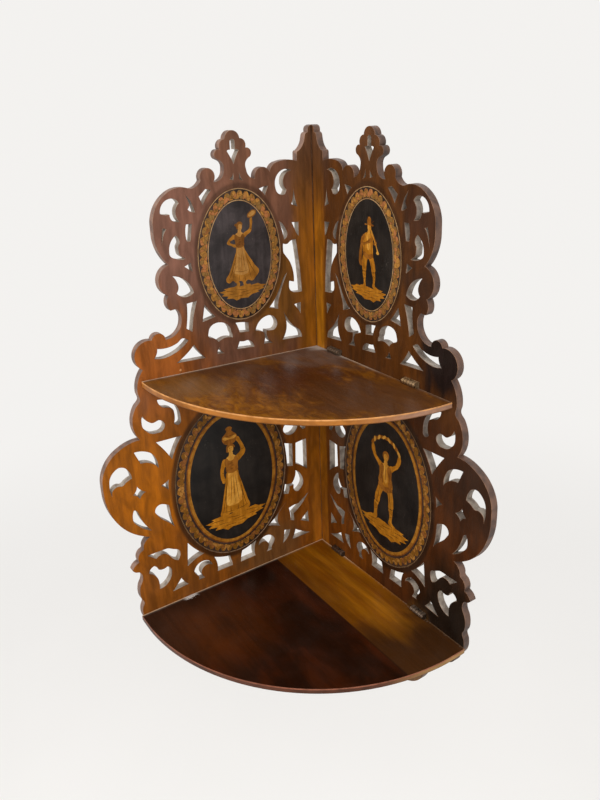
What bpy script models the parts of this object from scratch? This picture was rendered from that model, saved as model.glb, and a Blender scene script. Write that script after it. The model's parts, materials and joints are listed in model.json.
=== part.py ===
"""Folding corner wall shelf: two pierced panels, two quarter-round shelves, oval inlays and brass hinges."""

import math

import bmesh
import bpy
from mathutils import Vector

MM = 0.001

# Boards
BOARD = 6.4
SHELF_BOARD = 5.0
SHELF_SPACING = 210.0
UPPER_RADIUS = 171.0
LOWER_RADIUS = 198.5
UPPER_FRONT_BOW = 52.6
LOWER_FRONT_BOW = 63.1
UPPER_SHELF_LIFT = 2.4
PANEL_RISE = 188.8
PANEL_DROP = 158.0
STILE = 15.0
RAIL = 12.5

# Oval inlays
UPPER_OVAL_OUT = 73.5
UPPER_OVAL_UP = 92.5
UPPER_OVAL_WIDE = 77.2
UPPER_OVAL_TALL = 106.4
UPPER_BAND = 9.7
LOWER_OVAL_OUT = 97.2
LOWER_OVAL_UP = 104.2
LOWER_OVAL_WIDE = 113.0
LOWER_OVAL_TALL = 154.0
LOWER_BAND = 15.5
INLAY = 1.2

# Hinges
KNUCKLE_RADIUS = 2.2
HINGE_PIN_RADIUS = 0.9
LEAF = 1.0
SHELF_HINGE_LENGTH = 16.0
UPPER_HINGE_INNER = 29.0
UPPER_HINGE_OUTER = 127.0
LOWER_HINGE_INNER = 30.0
LOWER_HINGE_OUTER = 145.0
CORNER_HINGE_LENGTH = 30.0
CORNER_HINGE_UP = 110.0
CORNER_HINGE_DOWN = 75.0
CORNER_LEAF_WIDE = 12.0

# Screws and rest pins
SCREW_HEAD = 1.25
SCREW_SHANK = 0.7
SCREW_LENGTH = 4.2
REST_PIN_RADIUS = 1.6
REST_PIN_REACH = 7.0
REST_PIN_SEAT = 4.5
UPPER_REST_OUT = 136.5
LOWER_REST_OUT = 150.0

# Gaps
SHELF_GAP = 0.4
GLUE_GAP = 0.2
SEAT_GAP = 0.1
HINGE_GAP = 0.25
PIN_GAP = 0.06
MITRE_GAP = 0.2

# Wall fixing point, measured from the outer corner along the right panel's back
FIXING = 15.0

# Fineness of the curves
ARC_ERROR = 0.24
OVAL_STEPS = 48
ROUND_STEPS = 10

# Values that follow from the sizes above
AXIS_OFF = KNUCKLE_RADIUS + HINGE_GAP
PIVOT_IN = KNUCKLE_RADIUS + 0.3
CORNER_U = PIVOT_IN - BOARD
LEAF_DROP = SHELF_BOARD - 1.2
PLATE_BACK = KNUCKLE_RADIUS + HINGE_GAP + 0.05
INNER_X = BOARD - FIXING
INNER_Y = -BOARD
LOWER_LEVEL = -SHELF_SPACING
BOTTOM = LOWER_LEVEL - PANEL_DROP

# Edge of the right panel, counter-clockwise: out from the corner, up, and height of the bow to the next point
APRON_EDGE = [
    (0, -368, 1.6), (3.4, -362.6, 1), (6.8, -359.2, -1.2), (12.5, -349.2, 0.5), (15, -347.5, 0), (15, -338, -2),
    (26, -339.5, 8), (44, -329, -2.5), (58, -329, 7), (76, -316.5, -3), (92, -317, 5), (112, -303, -2.5),
    (122, -300, 8), (155.5, -263, -4), (171, -239, 5.5), (189.5, -224, 4.8),
]
LOWER_EDGE = [
    (194.5, -198, 3.3), (193, -174.5, -1.2), (194.5, -165.8, 0.8), (200.5, -161.5, 1.2), (193.8, -155.5, 2.6),
    (188.5, -144.5, 2.2), (181, -134.3, 3), (207, -111, 2.6), (214.5, -76, 5.4), (196, -46, 1.2),
    (178.5, -42.2, 6.4), (174, -9, 3.3),
]
UPPER_EDGE = [
    (168.5, 16, 10.5), (158, 38.3, 5.2), (146.3, 36.5, -4.3), (131, 50, -1.2), (134.5, 59.3, 0), (139.5, 58.8, 2.2),
    (140, 70.8, 8.4), (137, 94.5, 3.1), (146.3, 122, 5.6), (128, 149.6, 1.3), (112.5, 148.8, 0), (103.8, 154, 9.6),
    (92.8, 152, -3), (83, 160.5, -1.8), (87.5, 167.8, 4), (85.5, 175, 2.4), (80.8, 182.3, 6), (67.6, 182.3, 2.4),
    (62.9, 175, 4), (60.9, 167.3, -1.5), (63.4, 159.5, -2), (55.8, 151.2, 6.3), (41.8, 155.5, 1.8), (33, 162.8, 1.2),
    (15.2, 161.8, 0), (15, 168.3, 0.5), (12.5, 170, -1.2), (6.8, 180, 1), (3.4, 183.4, 1.6), (0, 188.8, 0),
]

# Openings sawn above the upper shelf
UPPER_HOLES = [
    [(74.2, 163.8, -0.3), (79.4, 173.6, 0.4), (76.4, 174.3, 0), (76.3, 180, 2), (72.1, 180, 0), (72, 174.3, 0.4),
     (69, 173.6, -0.3)],
    [(66.9, 150.8, 0), (69.9, 152.2, 0), (69.8, 157.2, -0.5)],
    [(75.2, 151.8, 0), (78.6, 152.8, -0.5), (75, 157, 0)],
    [(28, 136.8, 2.6), (36.9, 142.5, 6.8), (21, 155, -5.7), (26.3, 140, 0)],
    [(16.3, 125.8, 0), (22, 128.2, -0.6), (19.6, 139.5, -0.5)],
    [(47.3, 137.8, -0.3), (52.6, 143.3, 0.3), (44, 145, 0)],
    [(16, 101.5, 0.5), (19.5, 107, 0), (22.4, 113.3, 0), (15.8, 113, 0)],
    [(30.8, 100.2, -0.5), (35.2, 115.8, 1), (29, 108.8, 0.5), (27.4, 103.8, 0.8)],
    [(14.6, 53, 0.4), (24.5, 54.3, 1.2), (27.6, 61, 0), (27.2, 64.3, 0), (22.4, 62.8, 0), (25.5, 80, 0),
     (31.5, 88.5, 0.5), (31.9, 97, 0), (28, 96, 0), (24.5, 98.2, 0), (19.2, 99, 0), (16, 74, 0)],
    [(40, 41.8, 0), (48.7, 44.8, -0.4), (42.2, 51.8, -0.4), (34, 66.5, 0.3), (29.5, 71.6, 0), (33.5, 63.5, -0.3),
     (39.6, 47.5, 0)],
    [(16.8, 33.5, -0.3), (23, 42.8, 0), (16.3, 43.5, 0)],
    [(16.3, 11.8, 0), (36.8, 13.2, -2), (32.2, 30, 0), (34.3, 37.5, 0), (31, 31.5, -0.8), (17.5, 16.8, 0)],
    [(47.5, 12.9, 0), (56.2, 13.6, -0.4), (54.6, 20, -0.6), (57, 25, 0), (63.6, 27.2, 2.2), (53, 37.6, 3),
     (41.8, 30.5, 1.2), (45, 24.4, 0.4), (52.8, 25.2, 0), (53, 21, -1)],
    [(70.3, 27.6, 0), (79.3, 28.8, -0.4), (82.6, 37.6, 0.4), (70.4, 35.6, 0)],
    [(66, 13.1, 0), (82.8, 14.6, 0), (79.8, 20.8, -0.5), (72, 20.2, 0)],
    [(86.3, 25.6, -1.8), (99.8, 24.6, 0), (102, 27.3, -0.4), (107.6, 29.8, 0.8), (108.3, 34, 3), (98, 40.5, 3.2),
     (87.2, 30.5, 0.6)],
    [(95.3, 13.8, 0), (101.8, 14.5, 0.4), (99.7, 19.6, -0.6)],
    [(100.8, 46.6, 0), (112.8, 44.3, 0), (109.6, 58.3, -0.4)],
    [(122.6, 38.2, 0), (127.4, 41.8, -0.6), (125, 61.8, 0), (116.2, 62.6, -0.8)],
    [(127, 31.8, 2.4), (150, 21.6, 0.3), (157.6, 22.9, -0.8), (154.2, 30.3, -2.6), (131.5, 34.4, 0.4)],
    [(113, 13.7, 0), (139, 15, -0.8), (122.4, 26.8, -0.7)],
    [(118, 69.8, 0), (126.5, 67.4, 0), (132.7, 71.5, -1.4), (131.4, 80, -0.4), (134.7, 85.3, 2), (120.5, 76, 0.3)],
    [(117.3, 86.3, 0), (123.8, 91.2, 0), (118.3, 93.5, 0)],
    [(122.3, 97.3, 1.6), (134.8, 101, 2.6), (128.8, 115.9, 0.8), (126, 110, -0.9), (127.6, 104, -0.9), (125, 99, 0)],
    [(116.7, 110, 0), (119.7, 110.2, 0), (120.2, 118.6, 0), (119.2, 123, 0), (114.3, 123, 0)],
    [(110.8, 131.3, 0.8), (116.6, 134, -0.6), (115, 138.2, 0), (117.6, 145, 0.8), (112, 135.5, 0)],
    [(124.3, 125.6, 0.4), (130, 127, 0), (131.8, 131.8, 0.6), (139.4, 133.2, 3.2), (129, 143.2, 1),
     (123.6, 139.3, -3)],
    [(140.8, 110.2, 0.3), (138.5, 122.4, 0), (135.8, 121.5, -0.8)],
    [(103.6, 135.8, 0), (106.3, 142.4, 0), (100.5, 147.2, 0.4), (95.8, 146, -0.4)],
]

# Openings sawn between the shelves
FOOT_WAVE = [(134.5, -197.8, 0), (140.3, -197.6, 0), (140.2, -194, 0.5), (144, -187.2, 2.4), (134, -179.6, 2),
             (125.5, -187.3, -3.8), (137.2, -190.5, -0.6)]
FOOT_BLADE = [(104.6, -197, 0), (120.8, -196.8, 0), (120.4, -188, -0.3), (122.8, -180.2, -0.6), (107, -185.4, 0.3)]
FOOT_LEAF = [(49.8, -175.2, -0.4), (63.2, -169.5, -0.8), (46.3, -155.2, 0), (50.8, -160, 0)]
FOOT_CHIP = [(42.5, -192, 0), (47.8, -196, -0.5), (45.2, -181.8, 0), (38.6, -183.5, 0)]
FOOT_FAN = [(15.3, -195.8, 0), (36.3, -195.8, -0.4), (32.2, -185.8, -0.6)]
FOOT_NOTCH = [(16, -183, 0), (25.8, -177.8, -0.4), (16.8, -170, 0)]
FOOT_HOOK = [(33.6, -175.3, 0), (37.5, -173, -0.6), (38.9, -159, 0.5), (27, -157.5, 0), (15.8, -149.8, 0.5),
             (25, -160.8, 0), (34, -167, 0.5)]
LOWER_HOLES = [
    [(143.5, -38.5, 0.5), (147.3, -36.3, -1.2), (147, -23.5, -0.8), (155, -19.8, 0), (159.6, -12, 1), (147, -17, 2),
     (141, -34.5, 1)],
    [(155.6, -35, 2.2), (163, -40.6, 1.2), (171.5, -36.8, 1.2), (175, -28, 0.4), (173.8, -22.6, -1.2),
     (166, -30.8, -0.2), (160.5, -29.8, 1.2)],
    [(152.8, -68, -0.6), (165, -48.7, 0), (142, -49.3, -0.8)],
    [(165.6, -72, -2.4), (180.4, -63.3, 0), (184.8, -52, 1.6), (170, -57.5, 1.4)],
    [(189.6, -74, -0.4), (198.8, -78.3, -3.5), (208, -84.6, 0.6), (208.6, -74, 2.6), (199.5, -61.4, 1.4),
     (192, -66, 0.6)],
    [(185.2, -95, -0.8), (190.4, -89.8, -0.8), (186.2, -83.2, -0.8), (179.6, -90.2, -0.8)],
    [(159.2, -95.3, -0.4), (165.2, -89.7, -0.4), (158, -86, -0.3)],
    [(157.8, -133, -0.3), (163.5, -126, 0.8), (173.2, -114, 3), (166.5, -107.2, 0.4), (160.6, -110.8, -0.6)],
    [(179, -128.5, 1.6), (193.2, -114.5, 0.9), (191.8, -104.2, 0.7), (188.8, -107, -1.3)],
    [(132.8, -171.8, -1), (149.9, -178.5, 0), (147.4, -154.6, -0.9)],
    [(28, -143.8, 1), (32.2, -139.5, 0.3), (31.8, -135.2, 0), (37, -135.2, 0.5), (38.8, -143, 0), (43.8, -141.3, 0),
     (42, -131.3, -0.4), (34, -133, -1.4), (29.2, -120.3, 2.2), (21, -136, 1.5)],
    [(16, -122.8, -0.5), (28.7, -113.3, 0), (27.9, -91.5, 0.3), (16, -90.5, 0)],
    [(32.3, -114.3, 0.3), (38.4, -112.5, -0.4), (40.3, -88, 0), (31.8, -91, 0)],
    [(25.3, -74, 7.6), (41, -73, 6)],
    [(16.3, -79, 0), (19.6, -79.3, 0), (22.6, -74.6, 0), (16.3, -66, 0)],
    [(158, -168.2, 0.5), (163, -164.5, -0.8), (170.5, -156.2, -1), (178.3, -158.3, 0), (185.6, -152, 0),
     (168, -152.2, 0.6), (156, -159, 1.2)],
    [(178.6, -190.4, -0.8), (179.5, -178, -0.8), (186.3, -170.5, 1.4), (181, -165, 0.6), (177.2, -170.3, -1.2),
     (169.3, -170.5, 1.6), (165.6, -178, 1.2), (171, -188, 0.8)],
    [(151.2, -197.4, 0), (166.8, -198.6, -0.3), (157.4, -188.2, -0.5)],
    FOOT_WAVE, FOOT_BLADE, FOOT_LEAF, FOOT_CHIP, FOOT_FAN, FOOT_NOTCH, FOOT_HOOK,
]

# Openings sawn in the apron under the lower shelf
APRON_HOLES = [
    [(18.5, -262, -1), (35, -247, -1.5), (40, -233, 0), (18.5, -233, 0)],
    [(45, -254, 0.8), (58, -245, -1), (62, -233, 0), (48, -233, 1.2)],
    [(88, -245, 0.8), (101, -254, 1.2), (98, -233, 0), (84, -233, -1)],
    [(72, -262, 4.5), (72, -241, 4.5)],
    [(72, -297, 4.5), (72, -276, 4.5)],
    [(46, -269, 4), (66, -269, 4)],
    [(78, -269, 4), (98, -269, 4)],
    [(112, -255, 1.2), (128, -246, -1.5), (140, -233, 0), (107, -234, 1.2)],
    [(150, -252, -1), (166, -232, 0), (148, -233, 0)],
    [(112, -286, 6.5), (144, -257, -2.5)],
    [(18.5, -316, -1), (34, -300, 1.5), (38, -282, -1), (18.5, -276, 0)],
    [(30, -329, 3), (36, -328, 3)],
    [(42, -309, 3.5), (58, -300, 3.5)],
    [(84, -300, 3.5), (100, -291, 3.5)],
    [(62, -321, 2.6), (68, -318, 2.6)],
]

# Light figures of the inlays, drawn about the oval's middle for a ground of this half width and half height
FIGURE_WIDE = 28.9
FIGURE_TALL = 43.5
DANCER = [
    (-13, -36.5, 1.2), (13, -36.5, 1.4), (18.5, -30.5, 1.4), (6.2, -27, 0), (5.2, -19.8, -0.4), (12.5, -17.2, -1.8),
    (3.4, 2.5, -0.6), (4.8, 12, 0.3), (13.2, 18.4, 0.4), (17.4, 26.6, 1), (15, 27.6, -0.3), (11, 21.4, -0.4),
    (4.2, 17.4, -0.5), (1.7, 18.6, 7.4), (-1.7, 18.6, -0.5), (-4.4, 17, 0.8), (-12.2, 8.2, 0.5), (-13.6, 0.8, 1),
    (-11.2, 0.4, -0.3), (-9.2, 6.8, -0.3), (-4, 11.2, -0.4), (-3.2, 2.5, -2), (-14.5, -15.2, 0.8), (-4.8, -19.6, 0),
    (-4.4, -27, 0), (-18.5, -30.5, 1.4),
]
PIPER = [
    (-13, -36.5, 1.2), (13, -36.5, 1.4), (18.5, -30.5, 1.4), (8.2, -26.6, -0.8), (5.4, -8, -0.4), (4.4, 4, 0.2),
    (5, 8.4, 0), (12, 10.2, 0), (18.8, 5.6, 0.5), (19.8, 7.6, 0), (5.6, 17, -0.3), (2.6, 17.6, 7.2),
    (-1.2, 18.8, -0.4), (-4.8, 16.6, 1.4), (-9.6, 3, -1), (-13.6, -12, 0.5), (-10.6, -14.4, -0.6), (-7.6, -26.6, 0),
    (-18.5, -30.5, 1.4),
]
JUG_BEARER = [
    (-13, -36.5, 1.2), (13, -36.5, 1.4), (18.5, -30.5, 1.4), (7, -26.8, -0.6), (8.6, -16, 0.6), (3.6, 3, -0.6),
    (4.8, 10.5, 0.4), (8.4, 14.8, 0.5), (8.8, 24, 0), (8.2, 27.5, 1.4), (3.8, 34.5, -0.4), (4.6, 37.2, 0.3),
    (-3.4, 37.2, -0.4), (-2.6, 34.5, 1.4), (-6.4, 28, 1.2), (-2.8, 25, 0.9), (-3.6, 20.6, 0.8), (-1.6, 17.6, 0),
    (-4.6, 16.2, 0.8), (-10.4, 8.6, 0.8), (-5, 3.4, -0.6), (-11, -17, 0.6), (-6, -19, 0), (-6.4, -26.8, 0),
    (-18.5, -30.5, 1.4),
]
GARLAND_BEARER = [
    (-13, -36.5, 1.2), (13, -36.5, 1.4), (18.5, -30.5, 1.4), (6, -26.8, -0.5), (9.6, -18, 0.8), (11.6, -13, -1.8),
    (3.2, 3, -0.5), (4.6, 11, 0.4), (10.4, 18, 0.6), (9, 27.6, 0.8), (6.8, 27.4, -0.4), (7.4, 19.6, -0.6),
    (3.8, 16.8, -0.4), (1.6, 18.4, 7.2), (-1.6, 18.4, -0.4), (-3.8, 16.8, -0.6), (-7.4, 19.6, -0.4),
    (-6.8, 27.4, 0.8), (-9, 27.6, 0.6), (-10.4, 18, 0.4), (-4.6, 11, -0.5), (-3.2, 3, -1.8), (-12.6, -12, 0.8),
    (-9.6, -18.6, 0.8), (-5, -20, 0), (-4.6, -26.8, 0), (-18.5, -30.5, 1.4),
]


def stretch(value, drawn, wanted):
    """Carry a drawn position over to the wanted sizes, evenly between the named lines."""
    if value <= drawn[0]:
        return wanted[0] + value - drawn[0]
    for low, high, new_low, new_high in zip(drawn, drawn[1:], wanted, wanted[1:]):
        if value <= high:
            return new_low + (value - low) * (new_high - new_low) / (high - low)
    return wanted[-1] + value - drawn[-1]


def fit_upper(u, v):
    half_wide = UPPER_OVAL_WIDE / 2
    half_tall = UPPER_OVAL_TALL / 2
    columns = (0, STILE, UPPER_OVAL_OUT - half_wide, UPPER_OVAL_OUT + half_wide, UPPER_RADIUS)
    rows = (0, RAIL, UPPER_OVAL_UP - half_tall, UPPER_OVAL_UP + half_tall, PANEL_RISE)
    return (
        stretch(u, (0, 15, 34.9, 112.1, 171), columns),
        stretch(v, (0, 12.5, 39.3, 145.7, 188.8), rows),
    )


def fit_lower(u, v):
    half_wide = LOWER_OVAL_WIDE / 2
    half_tall = LOWER_OVAL_TALL / 2
    middle = LOWER_LEVEL + LOWER_OVAL_UP
    columns = (0, STILE, LOWER_OVAL_OUT - half_wide, LOWER_OVAL_OUT + half_wide, LOWER_RADIUS)
    rows = (BOTTOM, LOWER_LEVEL - 14, LOWER_LEVEL, LOWER_LEVEL + RAIL, middle - half_tall, middle + half_tall, 0)
    return (
        stretch(u, (0, 15, 40.7, 153.7, 198.5), columns),
        stretch(v, (-368, -224, -210, -197.5, -182.8, -28.8, 0), rows),
    )


def bowed(loop):
    """Points along a closed line whose stretches are straight or round."""
    points = []
    for (u, v, bow), (next_u, next_v, _) in zip(loop, loop[1:] + loop[:1]):
        start = Vector((u, v))
        chord = Vector((next_u, next_v)) - start
        points.append(start)
        if not bow:
            continue
        span = chord.length
        rise = abs(bow)
        radius = (span * span / 4 + rise * rise) / (2 * rise)
        turn = 4 * math.atan(2 * rise / span)
        step = 2 * math.acos(1 - min(ARC_ERROR / radius, 0.5))
        count = max(2, math.ceil(turn / step))
        along = chord / span
        out = Vector((along.y, -along.x)) * math.copysign(1, bow)
        centre = start + chord / 2 + out * (rise - radius)
        for i in range(1, count):
            angle = turn * (i / count - 0.5)
            points.append(centre + (out * math.cos(angle) + along * math.sin(angle)) * radius)
    return [(point.x, point.y) for point in points]


def turned_round(loop, u_sum=None, v_sum=None):
    """The same closed line seen in a mirror, still counter-clockwise."""
    mirrored = []
    for i in reversed(range(len(loop))):
        u, v, _ = loop[i]
        bow = loop[i - 1][2]
        mirrored.append((u if u_sum is None else u_sum - u, v if v_sum is None else v_sum - v, bow))
    return mirrored


def shrunk(points, distance):
    """A closed line moved inwards by a distance."""
    moved = []
    for i, point in enumerate(points):
        here = Vector(point)
        before = (here - Vector(points[i - 1])).normalized()
        after = (Vector(points[(i + 1) % len(points)]) - here).normalized()
        inward = Vector((-before.y - after.y, before.x + after.x)).normalized()
        lean = max(0.35, inward.dot(Vector((-before.y, before.x))))
        moved.append(tuple(here + inward * (distance / lean)))
    return moved


def oval(u, v, half_wide, half_tall, steps=OVAL_STEPS):
    angles = [math.tau * i / steps for i in range(steps)]
    return [(u + half_wide * math.cos(a), v + half_tall * math.sin(a)) for a in angles]


def rectangle(u0, v0, u1, v1):
    return [(u0, v0), (u1, v0), (u1, v1), (u0, v1)]


def on_right(u, v, w):
    """A point of the right panel: out from the inner corner, up, and in from its front face."""
    return Vector((INNER_X + u, INNER_Y + w, v))


def on_left(u, v, w):
    """The mirrored point of the left panel."""
    return Vector((INNER_X - w, INNER_Y - u, v))


def add_slab(mesh, loops, low, high, place):
    """Add a plate with the given outline and openings between two depths."""
    ends = ([], [])
    for loop in loops:
        first = [mesh.verts.new(place(a, b, low)) for a, b in loop]
        second = [mesh.verts.new(place(a, b, high)) for a, b in loop]
        for i in range(len(loop)):
            k = (i + 1) % len(loop)
            mesh.faces.new((first[i], first[k], second[k], second[i]))
            ends[0].append(mesh.edges.get((first[i], first[k])))
            ends[1].append(mesh.edges.get((second[i], second[k])))
    for edges in ends:
        if len(loops) == 1 and len(edges) <= 4:
            mesh.faces.new([edge.verts[0] for edge in edges])
        else:
            bmesh.ops.triangle_fill(mesh, use_beauty=True, use_dissolve=False, edges=edges)


def add_turned(mesh, profile, place, steps=8):
    """Add a round piece from its profile of radius and depth, closed on its axis at both ends."""
    rings = []
    for radius, depth in profile:
        if radius == 0:
            rings.append([mesh.verts.new(place(0, 0, depth))])
            continue
        angles = [math.tau * i / steps for i in range(steps)]
        ring = [mesh.verts.new(place(radius * math.cos(a), radius * math.sin(a), depth)) for a in angles]
        rings.append(ring)
    for one, two in zip(rings, rings[1:]):
        for i in range(steps):
            k = (i + 1) % steps
            corners = [one[i % len(one)], one[k % len(one)], two[k % len(two)], two[i % len(two)]]
            mesh.faces.new(list(dict.fromkeys(corners)))


def make(name, mesh, material, axis=None):
    """Turn the built shape into a named object, set on its joint axis where it has one."""
    bmesh.ops.recalc_face_normals(mesh, faces=mesh.faces)
    if axis:
        bmesh.ops.translate(mesh, vec=-axis["at"], verts=mesh.verts)
    bmesh.ops.scale(mesh, vec=(MM, MM, MM), verts=mesh.verts)
    data = bpy.data.meshes.new(name)
    mesh.to_mesh(data)
    mesh.free()
    data.shade_smooth()
    data.set_sharp_from_angle(angle=math.radians(32))
    obj = bpy.data.objects.new(name, data)
    bpy.context.scene.collection.objects.link(obj)
    if axis:
        obj.parent = axis["empty"]
    if material:
        data.materials.append(material)
    return obj


def cut(obj, name, mesh, axis=None):
    """Cut a shape out of an object."""
    cutter = make(name, mesh, None, axis)
    cutter.hide_render = True
    cutter.display_type = "WIRE"
    modifier = obj.modifiers.new(name, "BOOLEAN")
    modifier.operation = "DIFFERENCE"
    modifier.solver = "EXACT"
    modifier.object = cutter


def paint(name, colour, roughness, metal=0.0):
    material = bpy.data.materials.new(name)
    material.use_nodes = True
    shader = material.node_tree.nodes["Principled BSDF"]
    shader.inputs["Base Color"].default_value = (*colour, 1)
    shader.inputs["Roughness"].default_value = roughness
    shader.inputs["Metallic"].default_value = metal
    return material


def joint_axis(name, at, tilt=0.0):
    empty = bpy.data.objects.new(name, None)
    empty.empty_display_size = 0.01
    empty.location = at * MM
    empty.rotation_euler = (-math.radians(tilt), 0, 0)
    bpy.context.scene.collection.objects.link(empty)
    return {"at": at, "empty": empty}


for old in list(bpy.data.objects):
    bpy.data.objects.remove(old, do_unlink=True)

WALNUT_PANEL = paint("walnut_panel", (0.16, 0.075, 0.035), 0.45)
WALNUT_SHELF = paint("walnut_shelf", (0.17, 0.08, 0.035), 0.35)
EBONY = paint("ebony", (0.012, 0.009, 0.008), 0.35)
LIGHT_WOOD = paint("light_wood", (0.55, 0.32, 0.1), 0.4)
FIGURE_WOOD = paint("figure_wood", (0.58, 0.33, 0.09), 0.4)
BRASS = paint("brass", (0.6, 0.42, 0.16), 0.35, 1.0)

LEFT_AXIS = joint_axis("left_panel_axis", on_left(CORNER_U, 0, BOARD - PIVOT_IN))
UPPER_AXIS = joint_axis("upper_shelf_axis", on_right(0, AXIS_OFF, -AXIS_OFF), UPPER_SHELF_LIFT)
LOWER_AXIS = joint_axis("lower_shelf_axis", on_right(0, LOWER_LEVEL + AXIS_OFF, -AXIS_OFF))

UPPER_OVAL = {
    "u": UPPER_OVAL_OUT,
    "v": UPPER_OVAL_UP,
    "wide": UPPER_OVAL_WIDE / 2,
    "tall": UPPER_OVAL_TALL / 2,
    "band": UPPER_BAND,
}
LOWER_OVAL = {
    "u": LOWER_OVAL_OUT,
    "v": LOWER_LEVEL + LOWER_OVAL_UP,
    "wide": LOWER_OVAL_WIDE / 2,
    "tall": LOWER_OVAL_TALL / 2,
    "band": LOWER_BAND,
}

UPPER_HINGES = {"upper_inner_hinge": UPPER_HINGE_INNER, "upper_outer_hinge": UPPER_HINGE_OUTER}
LOWER_HINGES = {"lower_inner_hinge": LOWER_HINGE_INNER, "lower_outer_hinge": LOWER_HINGE_OUTER}
CORNER_HINGES = {"corner_top_hinge": CORNER_HINGE_UP, "corner_foot_hinge": LOWER_LEVEL - CORNER_HINGE_DOWN}
SHELF_SCREW_UP = -LEAF_DROP / 2
SHELF_SCREW_OUT = SHELF_HINGE_LENGTH * 0.3
CORNER_SCREW_OUT = CORNER_HINGE_LENGTH * 0.3
CORNER_SCREW_U = CORNER_U + CORNER_LEAF_WIDE * 0.62


# Screws
def screw_profile(extra=0.0):
    shoulder = SCREW_HEAD - SCREW_SHANK + 0.15
    return [
        (0, 0),
        (SCREW_HEAD + extra, 0),
        (SCREW_HEAD + extra, 0.15),
        (SCREW_SHANK + extra, shoulder),
        (SCREW_SHANK + extra, SCREW_LENGTH - 1.2),
        (0, SCREW_LENGTH),
    ]


def clearance_profile():
    shoulder = SCREW_HEAD - SCREW_SHANK + 0.15
    head = SCREW_HEAD + SEAT_GAP
    shank = SCREW_SHANK + SEAT_GAP
    return [(0, -1), (head, -1), (head, 0.15), (shank, shoulder), (shank, SCREW_LENGTH + 1), (0, SCREW_LENGTH + 1)]


def pilot_profile():
    shank = SCREW_SHANK + SEAT_GAP
    return [(0, 0.3), (shank, 0.3), (shank, SCREW_LENGTH + 0.2), (0, SCREW_LENGTH + 0.2)]


def make_screw(name, place, axis=None):
    body = bmesh.new()
    add_turned(body, screw_profile(), place)
    screw = make(name, body, BRASS, axis)
    slot = bmesh.new()
    add_slab(slot, [rectangle(-SCREW_HEAD - 1, -0.2, SCREW_HEAD + 1, 0.2)], -1, 0.35, place)
    cut(screw, name + "_slot", slot, axis)


def from_front(panel, u, v):
    """Screw place in a leaf on a panel's front face."""
    return lambda x, y, z: panel(u + x, v + y, PLATE_BACK - AXIS_OFF + z)


def from_back(panel, u, v):
    """Screw place in a leaf on a panel's back face."""
    return lambda x, y, z: panel(u + x, v + y, BOARD - PIVOT_IN + KNUCKLE_RADIUS - z)


def from_shelf_edge(u, v):
    """Screw place in a leaf on a shelf's back edge."""
    return lambda x, y, z: on_right(u + x, v + y, -HINGE_GAP - z)


# Panels
def panel_outline():
    edge = APRON_EDGE + LOWER_EDGE + UPPER_EDGE
    points = []
    for u, v in bowed(edge + [(-1, 188.8, 0), (-1, -368, 0)]):
        if u >= 0:
            points.append(fit_upper(u, v) if v > 0 else fit_lower(u, v))
    inner = CORNER_U + MITRE_GAP
    return points + [(inner, PANEL_RISE), (inner, BOTTOM)]


def panel_openings():
    loops = [[fit_upper(u, v) for u, v in bowed(hole)] for hole in UPPER_HOLES]
    lower = LOWER_HOLES + APRON_HOLES
    foot = [FOOT_FAN, FOOT_CHIP, FOOT_NOTCH, FOOT_HOOK, FOOT_LEAF, FOOT_BLADE]
    blade = turned_round(FOOT_BLADE, u_sum=200.4)
    wave = turned_round(FOOT_WAVE, u_sum=201)
    lower = lower + [blade, wave]
    lower = lower + [turned_round(hole, v_sum=-211.6) for hole in foot + [blade, wave]]
    return loops + [[fit_lower(u, v) for u, v in bowed(hole)] for hole in lower]


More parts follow.
